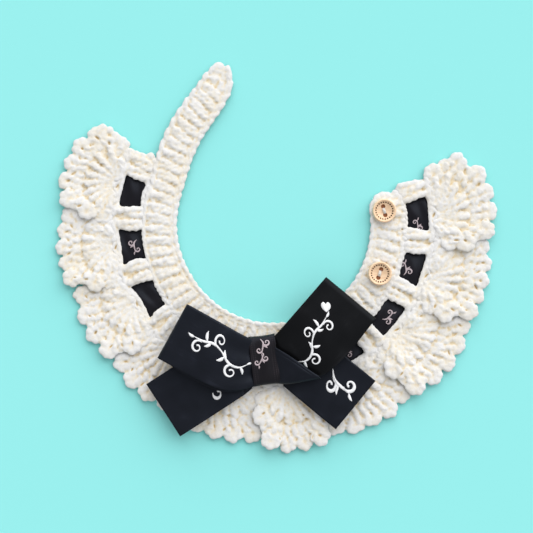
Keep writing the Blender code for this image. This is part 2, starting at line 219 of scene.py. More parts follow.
def strap_drift(angle):
    """How far outwards the band and the row's inner edge lie where the strap begins."""
    return STRAP_DRIFT * max(0.0, STRAP_START - angle)


def in_frame(points):
    """Points about the neck centre in mm, as metres in the frame."""
    points = np.asarray(points, float) * MM
    points[..., 0] += NECK_CENTRE[0] * MM
    points[..., 1] += NECK_CENTRE[1] * MM
    return points


def unit(vectors):
    """Vectors scaled to length 1."""
    return vectors / np.maximum(np.linalg.norm(vectors, axis=-1, keepdims=True), 1e-9)


def distances(line):
    """How far along a line each of its points is."""
    return np.concatenate([[0.0], np.cumsum(np.linalg.norm(np.diff(line, axis=0), axis=1))])


def curve_through(points, step=STEP):
    """A smooth curve through points, with a point about every step."""
    points = np.asarray(points, float)
    padded = np.vstack([2 * points[0] - points[1], points, 2 * points[-1] - points[-2]])
    out = []
    for at in range(1, len(padded) - 2):
        a, b, c, d = padded[at - 1:at + 3]
        count = max(2, int(np.linalg.norm(c - b) / step * 1.5))
        t = np.linspace(0.0, 1.0, count, endpoint=False)[:, None]
        out.append(0.5 * (2 * b + (c - a) * t + (2 * a - 5 * b + 4 * c - d) * t ** 2
                          + (3 * b - a - 3 * c + d) * t ** 3))
    out.append(points[-1:])
    line = np.vstack(out)
    length = distances(line)
    count = max(4, int(length[-1] / step) + 1)
    even = np.linspace(0.0, length[-1], count)
    return np.column_stack([np.interp(even, length, line[:, axis]) for axis in range(3)])


def bowed(start, end, bow, profile):
    """Points from one place to another, bowed to a side, from (share of the way, height) pairs."""
    ahead = end - start
    return [(*(start + ahead * share + bow * math.sin(math.pi * share)), height)
            for share, height in profile]


def frames(line):
    """Side and up directions along a line, with up as near +Z as it can be."""
    ahead = unit(np.gradient(line, axis=0))
    side = unit(np.cross(ahead, (0.013, 0.021, 1.0)))
    return side, np.cross(side, ahead)


class Skein:
    """Strands of yarn that grow together into one soft piece of crochet."""

    def __init__(self, name, seed):
        self.name = name
        self.random = random.Random(seed)
        self.draw = self.random.uniform
        self.points, self.quads, self.pits, self.presses, self.tunnels = [], [], [], [], []
        self.count = 0

    def tube(self, body):
        """Add a closed tube from its rings of points."""
        rows = len(body)
        at = self.count + np.arange(rows * SIDES).reshape(rows, SIDES)
        beyond = np.roll(at, -1, axis=1)
        self.quads.append(np.stack([at[:-1], at[1:], beyond[1:], beyond[:-1]], -1).reshape(-1, 4))
        for ring, order in ((at[0], 1), (at[-1], -1)):
            cap = [(ring[i], ring[i + 1], ring[-2 - i], ring[-1 - i]) for i in range(SIDES // 2 - 1)]
            self.quads.append(np.array(cap)[:, ::order])
        self.points.append(body.reshape(-1, 3))
        self.count += rows * SIDES

    def strand(self, line, radius, taper=1.6, twist=11.0):
        """One plied strand along a line."""
        line = np.asarray(line, float)
        side, up = frames(line)
        length = distances(line)
        ends = np.minimum(length, length[-1] - length)
        fat = np.sqrt(1.0 - 0.92 * (1.0 - np.clip(ends / taper, 0.0, 1.0)) ** 2) * radius
        start = self.draw(0.0, TAU)
        around = TAU * np.arange(SIDES) / SIDES
        turn = around[None, :] + (length * TAU / twist)[:, None] + start
        ring = fat[:, None] * (1.0 + PLY_DEPTH * np.cos(PLIES * around)[None, :])
        self.tube(line[:, None, :] + side[:, None, :] * (ring * np.cos(turn))[:, :, None]
                  + up[:, None, :] * (ring * np.sin(turn))[:, :, None])

    def knob(self, spot, height, wide, tall, lift=0.0, heading=0.0, stretch=1.0):
        """A round lump of knotted yarn, which may be longer one way."""
        share = np.linspace(-0.97, 0.97, 9)[:, None]
        around = TAU * np.arange(SIDES)[None, :] / SIDES
        ring = wide * np.sqrt(1.0 - share ** 2)
        ahead, aside = ring * np.cos(around) * stretch, -ring * np.sin(around)
        c, s = math.cos(math.radians(heading)), math.sin(math.radians(heading))
        high = height + lift + tall * share + 0.0 * around
        self.tube(np.stack([spot[0] + ahead * c - aside * s, spot[1] + ahead * s + aside * c, high], -1))

    def rope(self, points, radius, spread, turns, flat, lift=None, phase=0.0, grow=(1.0, 1.0), pinch=0.8,
             lumps=0.10):
        """Two strands wound round a line: a stitch's post, or a picot's chain."""
        axis = curve_through(points)
        side, up = frames(axis)
        share = np.linspace(0.0, 1.0, len(axis))
        swell = pinch + (1.0 - pinch) * np.sin(np.pi * share) ** 0.7
        size = np.interp(share, (0.0, 0.55, 1.0), (grow[0], (grow[0] + 2 * grow[1]) / 3, grow[1]))
        high = np.zeros(len(axis)) if lift is None else lift(axis)
        for half in (0.0, 0.5):
            angle = TAU * (turns * share + half + phase)
            drift = SWAY * np.sin(TAU * (share * self.draw(0.7, 1.6) + self.random.random()))
            line = (axis + side * (spread * swell * size * np.cos(angle) + drift)[:, None]
                    + up * (spread * flat * swell * size * np.sin(angle))[:, None])
            line[:, 2] += high
            pitch, shift = self.draw(3.8, 5.4), self.random.random()
            lump = 1.0 + lumps * np.sin(TAU * (STEP * np.arange(len(line)) / pitch + shift))
            self.strand(line, radius * size * (0.9 + 0.1 * swell) * lump)

    def bead(self, start, end, radius, rise, low=2.2, bow=0.0, lift=0.0):
        """One short fat strand between two places: a chain's link as it shows from one side."""
        start, end = np.asarray(start, float), np.asarray(end, float)
        ahead = end - start
        side = np.array((-ahead[1], ahead[0])) / max(np.linalg.norm(ahead), 0.1)
        arch = [(share, low + (rise - low) * high + lift)
                for share, high in ((0.0, 0.0), (0.3, 0.8), (0.55, 1.0), (0.8, 0.75), (1.0, 0.0))]
        self.strand(curve_through(bowed(start, end, side * bow, arch)), radius, taper=2.2)

    def web(self, plan, low, high, lift=None, kept=None):
        """A layer of yarn under the stitches, over a grid of (x, y), between two heights."""
        plan = np.asarray(plan, float)
        rows, columns = plan.shape[:2]
        spots = plan.reshape(-1, 2)
        rise = np.zeros(len(spots)) if lift is None else lift(spots)
        for height in (high, low):
            level = np.broadcast_to(height, (rows, columns)).reshape(-1) + rise
            self.points.append(np.column_stack([spots, level]))
        if kept is None:
            kept = np.ones((rows - 1, columns - 1), bool)
        corners = slab_faces(kept)
        self.quads.append(self.count + corners[..., 0] * columns + corners[..., 1]
                          + corners[..., 2] * rows * columns)
        self.count += 2 * rows * columns

    def pit(self, spot, heading, length, width, deep):
        """A small hole in the crochet: an oval hollow."""
        self.pits.append((*spot, math.radians(heading), length / 2, width / 2, deep))

    def press(self, spot, radius, top):
        """A round patch that something lies on: no stitch stands above its underside."""
        self.presses.append((*spot, radius, top))

    def tunnel(self, inner, outer, top):
        """A ring between two radii with a ribbon through it: no stitch there lies lower than this."""
        self.tunnels.append((inner, outer, top))

    def settle(self, spots):
        """Clear the tunnels, and lower the surface under what presses on it and at the pits."""
        for inner, outer, top in self.tunnels:
            radius = np.hypot(spots[:, 0], spots[:, 1])
            share = smooth(1.0 + np.minimum(radius - inner, outer - radius) / 0.8)
            spots[:, 2] += share * np.maximum(top - spots[:, 2], 0.0)
        for x, y, radius, top in self.presses:
            share = smooth((radius + 1.5 - np.hypot(spots[:, 0] - x, spots[:, 1] - y)) / 1.5)
            spots[:, 2] -= share * np.maximum(spots[:, 2] - top, 0.0)
        for x, y, heading, length, width, deep in self.pits:
            near = np.nonzero((np.abs(spots[:, :2] - (x, y)) < 3 * length).all(1))[0]
            away = spots[near, :2] - (x, y)
            ahead = away[:, 0] * math.cos(heading) + away[:, 1] * math.sin(heading)
            aside = away[:, 1] * math.cos(heading) - away[:, 0] * math.sin(heading)
            share = np.exp(-((ahead / length) ** 2 + (aside / width) ** 2) ** 1.5)
            floor = spots[near, 2].max(initial=0.0) - deep
            spots[near, 2] -= np.maximum(spots[near, 2] - floor, 0.0) * share

    def strands(self):
        """The yarn as it was laid, an object of separate closed surfaces."""
        quads = np.vstack(self.quads)
        mesh = bpy.data.meshes.new(self.name)
        mesh.vertices.add(self.count)
        mesh.vertices.foreach_set("co", np.vstack(self.points).ravel())
        mesh.loops.add(quads.size)
        mesh.loops.foreach_set("vertex_index", quads.ravel())
        mesh.polygons.add(len(quads))
        mesh.polygons.foreach_set("loop_start", np.arange(0, quads.size, 4))
        mesh.update(calc_edges=True)
        return put(self.name, mesh)

    def build(self, material, cell=FUSE, rounds=3, fluff=FLUFF):
        """Make the mesh object: the strands grown together, softened, and marked where they hollow, for the
        material's painted shade.
        """
        item = self.strands()
        fuse = item.modifiers.new("fuse", "REMESH")
        fuse.mode = "VOXEL"
        fuse.voxel_size = cell
        item.modifiers.new("soft", "SMOOTH").iterations = rounds
        for label, scale, strength in (("lumps", 3.4, 1.9 * fluff), ("fluff", 1.3, fluff)):
            uneven = item.modifiers.new(label, "DISPLACE")
            uneven.texture = bpy.data.textures.get(label) or bpy.data.textures.new(label, "CLOUDS")
            uneven.texture.noise_scale = scale
            uneven.texture.noise_depth = 1
            uneven.strength = strength
        mesh = item.data = modified(item)
        spots = vectors(mesh, "co")
        self.settle(spots)
        mesh.vertices.foreach_set("co", spots.ravel())
        mesh.update()
        # How far each point stands out of the smoothed surface round it; the cotton paints shade into the
        # hollows from this
        hollow = 1.5 * spots - softened(item, 20) - 0.5 * softened(item, 80)
        stands_out = (hollow * vectors(mesh, "normal")).sum(1)
        spots[:, 2] = np.maximum(spots[:, 2], 0.1)
        mesh.vertices.foreach_set("co", in_frame(spots).ravel())
        layer = mesh.attributes.new("open", "FLOAT", "POINT")
        layer.data.foreach_set("value", stands_out.astype(np.float32))
        mesh.shade_smooth()
        mesh.materials.clear()
        mesh.materials.append(material)
        mesh.update()
        return item


def vectors(mesh, label):
    """A mesh's vertex positions or normals, one row each."""
    values = np.empty(len(mesh.vertices) * 3)
    mesh.vertices.foreach_get(label, values)
    return values.reshape(-1, 3)


def put(name, data):
    """A new object in the scene, with its data."""
    item = bpy.data.objects.new(name, data)
    bpy.context.collection.objects.link(item)
    return item


def modified(item):
    """The mesh that an object's modifiers make of it; the modifiers are used up."""
    graph = bpy.context.evaluated_depsgraph_get()
    mesh = bpy.data.meshes.new_from_object(item.evaluated_get(graph))
    item.modifiers.clear()
    return mesh


def softened(item, rounds):
    """The vertices of a much smoother copy of a mesh."""
    item.modifiers.new("soft", "SMOOTH").iterations = rounds
    copy = modified(item)
    spots = vectors(copy, "co")
    bpy.data.meshes.remove(copy)
    return spots


def make_mesh(name, points, faces, material, coords=None):
    """A smooth mesh object from points in mm, quads, and the corners' cloth coordinates."""
    mesh = bpy.data.meshes.new(name)
    mesh.from_pydata(in_frame(points).reshape(-1, 3).tolist(), [], [tuple(map(int, f)) for f in faces])
    mesh.shade_smooth()
    if coords is not None:
        layer = mesh.uv_layers.new(name="cloth")
        layer.uv.foreach_set("vector", np.asarray(coords, float).ravel())
    mesh.materials.append(material)
    return put(name, mesh)


def normals(grid, closed=False):
    """Unit normals of a grid of points."""
    if closed:
        along = np.roll(grid, -1, 0) - np.roll(grid, 1, 0)
    else:
        along = np.gradient(grid, axis=0)
    return unit(np.cross(along, np.gradient(grid, axis=1)))


def slab_faces(kept, closed=False):
    """Faces of a slab over a grid's kept cells: each corner's row, column and side, 0 on top, 1 under."""
    last, wide = kept.shape
    faces = []
    for i, j in zip(*np.nonzero(kept)):
        square = ((i, j), (i + 1, j), (i + 1, j + 1), (i, j + 1))
        faces.append([(*place, 0) for place in square])
        faces.append([(*place, 1) for place in square[::-1]])
        beyond = ((i, j - 1), (i + 1, j), (i, j + 1), (i - 1, j))
        for number, (ni, nj) in enumerate(beyond):
            if closed:
                ni %= last
            if 0 <= ni < last and 0 <= nj < wide and kept[ni, nj]:
                continue
            a, b = square[number], square[(number + 1) % 4]
            faces.append([(*b, 0), (*a, 0), (*a, 1), (*b, 1)])
    return np.array(faces)


def spans(grid):
    """How far along a grid each of its rows lies, and how far across it each of its columns."""
    steps = [np.linalg.norm(np.diff(grid, axis=axis), axis=2).mean(1 - axis) for axis in (0, 1)]
    return [np.concatenate([[0.0], np.cumsum(step)]) for step in steps]


def make_cloth(name, grid, material, closed=False):
    """A thin sheet of cloth on a grid of points, with both faces and its cut edges."""
    rows, columns = grid.shape[:2]
    push = normals(grid, closed) * SATIN / 2
    points = np.concatenate([(grid + push).reshape(-1, 3), (grid - push).reshape(-1, 3)])
    along, wide = spans(grid)
    seam = np.linalg.norm(grid[0] - grid[-1], axis=1).mean()
    along = np.append(along, along[-1] + seam)
    corners = slab_faces(np.ones((rows if closed else rows - 1, columns - 1), bool), closed)
    row, column, under = corners[..., 0], corners[..., 1], corners[..., 2]
    faces = (row % rows) * columns + column + under * rows * columns
    return make_mesh(name, points, faces, material, np.stack([along[row], wide[column]], -1) / 10.0)


# ---------------------------------------------------------------- materials

FUZZ = 0.95                    # how much the yarn's fuzz evens out the light on its slopes

# Cotton's colour, from the bottom of a crevice to the top of a stitch: the darker, warmer tones in the
# crevices are painted shade, the top is the yarn's own white
COTTON_TONES_AND_CREVICE_SHADE = (
    (0.0, (0.60, 0.45, 0.25)), (0.22, (0.76, 0.65, 0.47)), (0.42, (0.805, 0.74, 0.63)),
    (0.60, (0.80, 0.78, 0.735)), (0.85, (0.79, 0.787, 0.79)),
)


class Look:
    """A node material in the making."""

    def __init__(self, name):
        self.material = bpy.data.materials.new(name)
        self.material.use_nodes = True
        self.tree = self.material.node_tree

    def give(self, socket, value):
        """Set a socket to a constant, or link it to another socket or to a node's first output."""
        if isinstance(value, bpy.types.Node):
            value = value.outputs[0]
        if isinstance(value, bpy.types.NodeSocket):
            self.tree.links.new(value, socket)
        else:
            socket.default_value = value

    def add(self, kind, **values):
        """A node, with values for its settings and its sockets; a socket's spaces are underlines."""
        node = self.tree.nodes.new(f"ShaderNode{kind}")
        for key, value in values.items():
            label = key.replace("_", " ")
            if label in node.inputs:
                self.give(node.inputs[label], value)
            else:
                setattr(node, key, value)
        return node

    def calc(self, operation, *values, kind="Math"):
        """A node that works a value out from others."""
        node = self.add(kind, operation=operation)
        for socket, value in zip(node.inputs, values):
            self.give(socket, value)
        return node

    def ramp(self, value, *stops):
        """A colour ramp through (place, colour) stops."""
        node = self.add("ValToRGB", Fac=value)
        points = node.color_ramp.elements
        while len(points) < len(stops):
            points.new(0.5)
        for point, (place, colour) in zip(points, stops):
            point.position = place
            point.color = (*colour, 1.0)
        return node

    def bump(self, height, strength, **values):
        """Fine relief, 0.2 mm deep."""
        return self.add("Bump", Height=height, Strength=strength, Distance=0.0002, **values)

    def finish(self, **values):
        """Set the shader's own sockets, and give the finished material."""
        shader = self.tree.nodes["Principled BSDF"]
        for key, value in values.items():
            self.give(shader.inputs[key.replace("_", " ")], value)
        return self.material


def cotton(name):
    """Soft cotton: matt warm white, with painted shade, creamy to brown, where it hollows, and a mottled,
    fibrous surface.
    """
    look = Look(name)
    stands_out = look.add("Attribute", attribute_name="open").outputs["Fac"]
    place = look.add("TexCoord").outputs["Object"]
    mottle = look.add("TexNoise", Vector=place, Scale=520.0, Detail=3.0, Roughness=0.6)
    patches = look.add("TexNoise", Vector=place, Scale=75.0, Detail=2.0)
    fibres = look.add("TexNoise", Vector=place, Scale=1700.0, Detail=3.0, Roughness=0.6)
    # Painted shade: the colour darkens and warms from the plain white as the surface sinks into a hollow
    depth = look.ramp(look.add("MapRange", Value=stands_out, From_Min=-0.75, From_Max=0.45), *COTTON_TONES_AND_CREVICE_SHADE)
    creamy = look.add("MapRange", Value=patches, From_Min=0.42, From_Max=0.68)
    tint = look.ramp(creamy, (0.0, (1.0, 1.0, 1.0)), (1.0, (1.0, 0.968, 0.90)))
    bright = look.add("MapRange", Value=mottle, From_Min=0.3, From_Max=0.7, To_Min=0.92, To_Max=1.04)
    tinted = look.calc("MULTIPLY", depth, tint, kind="VectorMath")
    shade = look.add("HueSaturation", Hue=0.5, Saturation=1.0, Value=bright, Color=tinted)
    outward = look.add("NewGeometry").outputs["Normal"]
    fuzz = look.calc("ADD", outward, (0.0, 0.0, FUZZ), kind="VectorMath")
    coarse = look.bump(mottle, 0.5, Normal=look.calc("NORMALIZE", fuzz, kind="VectorMath"))
    return look.finish(
        Base_Color=shade, Normal=look.bump(fibres, 0.5, Normal=coarse), Roughness=0.9, Sheen_Weight=0.1,
        Sheen_Roughness=0.5, Sheen_Tint=(1.0, 0.97, 0.92, 1.0), Specular_IOR_Level=0.15,
    )


def satin(name, colour, width, ribbed=False, gloss=0.17, tint=(0.68, 0.80, 1.0, 1.0)):
    """Black satin ribbon of a width in mm: threads along it, soft gloss, woven edges, and perhaps ribs;
    broad lighter and darker patches in its colour are painted sheen.
    """
    look = Look(name)
    calc = look.calc
    cloth = look.add("UVMap", uv_map="cloth")
    apart = look.add("SeparateXYZ", Vector=cloth)
    along, across = (calc("MULTIPLY", apart.outputs[axis], 10.0) for axis in "XY")
    inset = calc("SUBTRACT", width / 2, calc("ABSOLUTE", calc("SUBTRACT", across, width / 2)))
    edge = calc("LESS_THAN", inset, 0.7)
    stretched = look.add("Mapping", Vector=cloth, Scale=(1.2, 30.0, 1.0))
    threads = look.add("TexNoise", Vector=stretched, Scale=1.0, Detail=3.0)
    # Broad patches of painted sheen: the colour lightens and darkens over about a centimetre, for the
    # satin's uneven gloss
    sheen_patches = look.add("TexNoise", Vector=cloth, Scale=0.9, Detail=1.0)
    threads_and_sheen = calc("ADD", calc("MULTIPLY", threads, 0.4), calc("MULTIPLY", sheen_patches, 0.6))
    relief = calc("ADD", calc("MULTIPLY", threads, 0.25), calc("MULTIPLY", edge, 0.5))
    light = calc("ADD", threads_and_sheen, calc("MULTIPLY", edge, 0.10))
    if ribbed:
        dots = calc("GREATER_THAN", calc("SINE", calc("MULTIPLY", along, TAU / 1.3)), -0.1)
        for place in (1.6, 3.1):
            line = calc("LESS_THAN", calc("ABSOLUTE", calc("SUBTRACT", inset, place)), 0.3)
            rib = calc("MULTIPLY", line, dots)
            relief = calc("ADD", relief, calc("MULTIPLY", rib, 0.8))
            light = calc("ADD", light, calc("MULTIPLY", rib, 0.22))
    dark, pale = (tuple(share * c for c in colour) for share in (0.62, 3.2))
    return look.finish(
        Base_Color=look.ramp(light, (0.3, dark), (0.6, colour), (0.9, pale)),
        Normal=look.bump(relief, 0.35), Roughness=0.38, Specular_IOR_Level=gloss, Specular_Tint=tint,
        Sheen_Weight=0.05, Sheen_Roughness=0.4, Sheen_Tint=(0.85, 0.92, 1.0, 1.0),
    )


def wood(name, light, dark):
    """Pale turned wood, with its rings and a light polish."""
    look = Look(name)
    place = look.add("TexCoord").outputs["Object"]
    stretched = look.add("Mapping", Vector=place, Scale=(140.0, 900.0, 300.0), Rotation=(0.0, 0.0, 0.6))
    grain = look.add("TexNoise", Vector=stretched, Scale=1.0, Detail=5.0, Roughness=0.6, Distortion=0.6)
    pale = tuple(min(1.0, 1.08 * c) for c in light)
    return look.finish(
        Base_Color=look.ramp(grain, (0.3, dark), (0.55, light), (0.8, pale)), Normal=look.bump(grain, 0.15),
        Roughness=0.45, Coat_Weight=0.15, Coat_Roughness=0.3,
    )


def plain(name, colour, roughness):
    """A plain material, for the floor and for what hardly shows."""
    return Look(name).finish(Base_Color=(*colour, 1.0), Roughness=roughness)


# ---------------------------------------------------------------- the neckband

def band_stations():
    """Centre x, y, heading and width along the neckband, from the button end to the strap's point."""
    middle, width = (R_NECK + R_BAND) / 2, R_BAND - R_NECK
    angles = np.linspace(BAND_END, STRAP_START, BAND_ROWS)
    rows = [(*polar(middle, degrees), degrees - 90.0, width) for degrees in angles]
    table = np.array(rows + list(STRAP))
    table[:, 2] = np.unwrap(table[:, 2], period=360.0)
    return table


BAND = band_stations()
BAND_ALONG = np.concatenate([[0.0], np.cumsum(np.hypot(*np.diff(BAND[:, :2], axis=0).T))])
CIRCLE_LENGTH, BAND_LENGTH = float(BAND_ALONG[BAND_ROWS - 1]), float(BAND_ALONG[-1])
BAND_PITCH = (BAND_LENGTH - 13.0) / BAND_STITCHES


def on_band(along, inset, side):
    """x and y on the neckband, a distance in from its left (side 1) or right (side -1) edge."""
    x, y, heading, width = (np.interp(along, BAND_ALONG, BAND[:, k]) for k in range(4))
    aim = np.radians(heading + 90.0)
    corner = 7.5 if side < 0 else 6.0
    rounded = corner - np.sqrt(corner ** 2 - np.clip(corner - along, 0.0, corner) ** 2)
    across = side * np.maximum(width / 2 - inset - rounded, 0.0)
    return x + across * np.cos(aim), y + across * np.sin(aim)


def band_heading(along):
    """The neckband's heading at a distance along it."""
    return float(np.interp(along, BAND_ALONG, BAND[:, 2]))


def edge_line(start, stop, inset, side, height, wave):
    """A line along an edge of the neckband that waves up and down with its stitches."""
    along = np.arange(start, stop, 2.0)
    x, y = on_band(along, inset, side)
    return curve_through(np.column_stack([x, y, height + wave * np.cos(TAU * along / BAND_PITCH)]))


def neck_reach(along):
    """How far the chain round the neck stands out, which is more at the left."""
    degrees = BAND_END - (BAND_END - STRAP_START) * along / CIRCLE_LENGTH
    return 0.55 + 0.75 * math.exp(-((degrees - 215.0) / 26.0) ** 2)


def make_neckband():
    """Tall stitches side by side, with a chain round the whole edge."""
    skein = Skein("neckband_crochet", 11)
    plan = []
    for along in np.linspace(2.2, BAND_LENGTH - 4.0, 150):
        right = np.array(on_band(along, 2.0, -1))
        left = np.array(on_band(along, -0.1 if along < CIRCLE_LENGTH else 1.2, 1))
        plan.append([left + (right - left) * share for share in np.linspace(0.0, 1.0, 9)])
    skein.web(plan, 0.5, (2.6, 3.6, 3.8, 3.8, 3.8, 3.8, 3.7, 3.5, 2.5))
    for number in range(BAND_STITCHES):
        band_stitch(skein, number)
    band_chains(skein)
    band_knots(skein)
    band_ends(skein)
    for _, x, y, _ in BUTTONS:
        skein.press((x, y), 5.6, BUTTON_Z - 0.1)
    return skein


def band_stitch(skein, number):
    """A tall stitch across the band, and the small one beside its head where the eyelet row follows."""
    draw = skein.draw
    along = 3.4 + (number + 0.5) * BAND_PITCH
    strap = along > CIRCLE_LENGTH + 4.0
    lean = draw(-0.25, 0.25) + 1.15
    foot = np.array(on_band(along - lean, 4.0, -1))
    head = np.array(on_band(along + lean, 3.0 if strap else 1.4, 1))
    tip = smooth((along - BAND_LENGTH + 22.0) / 10.0)
    ahead = unit(head - foot)
    bend = np.array((ahead[1], -ahead[0])) * draw(-0.2, 0.5)
    arch = [(share, height - tip)
            for share, height in ((0.0, 2.5), (0.2, 3.2), (0.5, 3.5), (0.8, 3.2), (1.0, 2.6))]
    skein.rope(bowed(foot, head, bend, arch), 2.25, 1.2, draw(0.2, 0.42), flat=0.5,
               phase=draw(-0.22, -0.06), pinch=0.92, grow=(0.92, 1.06), lumps=0.07)
    if number and not strap:
        before = along - BAND_PITCH / 2
        skein.bead(on_band(before + 0.5, 6.6, 1), on_band(before + 1.3, 2.0, 1), 1.35, 3.3, low=2.4)


def band_chains(skein):
    """The chain round the neck and on along the strap, and the strap's other edge."""
    skein.strand(edge_line(1.0, BAND_LENGTH - 1.0, 3.7, -1, 3.4, 0.25), 1.15)
    for at in np.arange(0.5, BAND_LENGTH - 4.0, 6.1):
        reach = neck_reach(at)
        skein.bead(on_band(at - 0.6, 2.9 - reach, -1), on_band(at + 7.0, 1.5 - reach, -1), 1.6, 3.5)
    for at in np.arange(CIRCLE_LENGTH - 3.0, BAND_LENGTH - 5.0, 7.2):
        skein.bead(on_band(at - 0.6, 3.0, 1), on_band(at + 8.0, 1.3, 1), 1.9, 3.5, bow=0.7)


def band_knots(skein):
    """The stitches' heads beside the eyelet row: knots, and a plain strand on the part by the strap."""
    draw = skein.draw
    plain_from = CIRCLE_LENGTH * 0.77
    skein.strand(edge_line(plain_from, CIRCLE_LENGTH + 4.0, 0.3, 1, 3.3, 0.3), 1.5)
    for at in np.arange(3.0, plain_from, 4.4):
        heading = band_heading(at) + draw(10.0, 75.0)
        skein.knob(on_band(at + draw(-0.5, 0.5), draw(0.4, 2.8), 1), 3.1, draw(1.6, 1.9), 2.0,
                   heading=heading, stretch=draw(1.2, 1.7))
    for at in np.arange(5.5, plain_from, 3.2):
        heading = band_heading(at) + draw(-25.0, 70.0)
        skein.knob(on_band(at, draw(-0.8, 0.3), 1), 3.9, draw(1.5, 1.8), 1.4, heading=heading,
                   stretch=draw(1.15, 1.5))


def band_ends(skein):
    """The strap's point, with the small hole before it, and the band's button end."""
    for side in (-1, 1):
        skein.bead(on_band(BAND_LENGTH - 8.0, 1.8, side), on_band(BAND_LENGTH - 0.5, 0.9, side), 1.7, 3.4)
    crown = BAND_LENGTH - 2.6
    skein.knob(on_band(crown, 3.6, 1), 2.7, 3.2, 2.0)
    for back, inset in ((3.4, 5.4), (7.6, 7.2)):
        skein.knob(on_band(crown - back, inset, 1), 2.6, 3.0, 2.1)
    fork = BAND_LENGTH - 14.0
    middle_line = R_BAND                # an inset past the band's half width stays on its middle line
    skein.pit(on_band(fork, middle_line, 1), band_heading(fork), 6.5, 2.2, 2.4)
    start, stop = np.array(on_band(2.1, 1.6, -1)), np.array(on_band(4.6, 1.6, 1))
    end = [start + (stop - start) * share for share in np.linspace(0.02, 0.98, 4)]
    for near, far in zip(end, end[1:]):
        skein.bead(near, far, 1.7, 3.4)
    for along, inset, wide in ((1.6, 8.6, 2.6), (2.2, 4.6, 2.4)):
        skein.knob(on_band(along, inset, -1), 2.9, wide, 2.0)
    for radius, angle in ((74.4, 374.9), (79.6, 375.0)):
        skein.knob(polar(radius, angle), 2.9, 2.5, 2.0)


# ---------------------------------------------------------------- the eyelet row

def row_columns():
    """Angles across the eyelet row, and whether each step lies on a pair of stitches."""
    edges = [ROW_START + 0.9]
    for number in range(1, WINDOWS + 1):
        middle = window_angle(number)
        before = PAIR_TURN[number - 2] if number > 1 else -0.4
        after = PAIR_TURN[number - 1] if number < WINDOWS else 0.4
        edges += [middle - WINDOW_HALF - 1.2 + before, middle + WINDOW_HALF + 1.2 + after]
    edges.append(ROW_END - 0.8)
    angles, on_post = [], []
    for number, (a, b) in enumerate(zip(edges, edges[1:])):
        angles += list(np.linspace(a, b, 7)[:-1])
        on_post += [number % 2 == 0] * 6
    return angles + edges[-1:], on_post


def make_eyelet_row():
    """Pairs of tall stitches over the ribbon, and the chain rail outside the windows."""
    skein = Skein("eyelet_row_crochet", 12)
    row_web(skein)
    row_pair(skein, ROW_START + 4.6, (-2.2, 2.3))
    for number, turn in enumerate(PAIR_TURN, 1):
        row_pair(skein, window_angle(number) + WINDOW_PITCH / 2 + turn, (-2.6, 2.6))
    row_pair(skein, ROW_END - 3.4, (-1.7, 2.0))
    for number in range(1, WINDOWS + 1):
        row_rail(skein, number)
    row_knots(skein)
    skein.tunnel(R_BAND + 0.3, R_RIBBON, 1.1)
    return skein


def row_web(skein):
    """The layer of yarn under the row's stitches, open at the windows."""
    angles, on_post = row_columns()
    radii = (82.2, 84.0, 90.0, 96.0, 99.0, 100.2, 101.7)
    plan = [[polar(max(radius, 82.9 + strap_drift(angle)), angle) for radius in radii] for angle in angles]
    kept = np.ones((len(angles) - 1, len(radii) - 1), bool)
    for number, (angle, post) in enumerate(zip(angles, on_post)):
        if not post:
            kept[number, 1 if angle > 265.0 or angle < 175.0 else 0:4] = False
    skein.web(plan, 0.5, (2.4, 3.3, 3.5, 3.5, 3.3, 3.0, 2.4), kept=kept)


def row_pair(skein, middle, offsets):
    """Two tall stitches side by side from the band to the rail, and the rail's links on them."""
    draw = skein.draw
    course = ((R_BAND - 0.2, 0.92, 2.4), (R_BAND + 3.0, 1.0, 3.3), (R_BAND + 8.0, 1.03, 3.6),
              (R_BAND + 13.5, 1.0, 3.4), (R_RAIL - 3.4, 0.95, 2.8))
    for offset in offsets:
        points = []
        for radius, apart, height in course:
            drift = strap_drift(middle) if radius < 87.0 else 0.0
            points.append((*polar(radius + drift, middle + offset * apart + draw(-0.25, 0.25)), height))
        skein.rope(points, 2.15, 1.75, draw(0.28, 0.5), flat=0.4, phase=draw(-0.18, -0.05), pinch=0.92)
        away = middle + offset
        if middle > 205.0:
            skein.knob(polar(R_BAND + draw(0.9, 1.9), away + draw(-0.6, 0.6)), 3.1, draw(1.7, 2.1), 1.9,
                       heading=away + draw(-35.0, 35.0), stretch=draw(1.1, 1.5))
        skein.bead(polar(98.6, away - 2.7), polar(101.2, away + 2.3), 2.0, 3.5, low=2.6, bow=-0.5)
    arc = [(*polar(101.4, middle + turn), 2.5) for turn in np.linspace(-4.6, 4.6, 5)]
    skein.strand(curve_through(arc), 1.2)


def row_rail(skein, number):
    """The chain rail outside a window, with the hole that a shell grows from, and its knots."""
    draw = skein.draw
    middle = window_angle(number)
    for radius, dip in ((99.4, -0.3), (101.4, 1.5)):
        points = []
        for offset in np.linspace(-7.6, 7.6, 11):
            part = dip * math.exp(-((offset + 0.6) / 1.4) ** 2) - rail_pull(number, offset)
            points.append((*polar(radius + part, middle + offset), 3.1 - 0.5 * abs(offset) / 6.6))
        skein.strand(curve_through(points), 1.4)
    skein.pit(polar(101.6 - rail_pull(number), middle - 0.6), middle + 62.0, 3.4, 1.6, 2.2)
    for offset in (-6.4, -4.2, 2.3, 4.4, 6.5):
        angle = middle + offset + draw(-0.3, 0.3)
        skein.knob(polar(100.3 - rail_pull(number, offset) + draw(-0.2, 0.3), angle), 3.4, draw(1.35, 1.6),
                   1.4, heading=angle + 90.0 + draw(-30.0, 30.0), stretch=draw(1.2, 1.6))


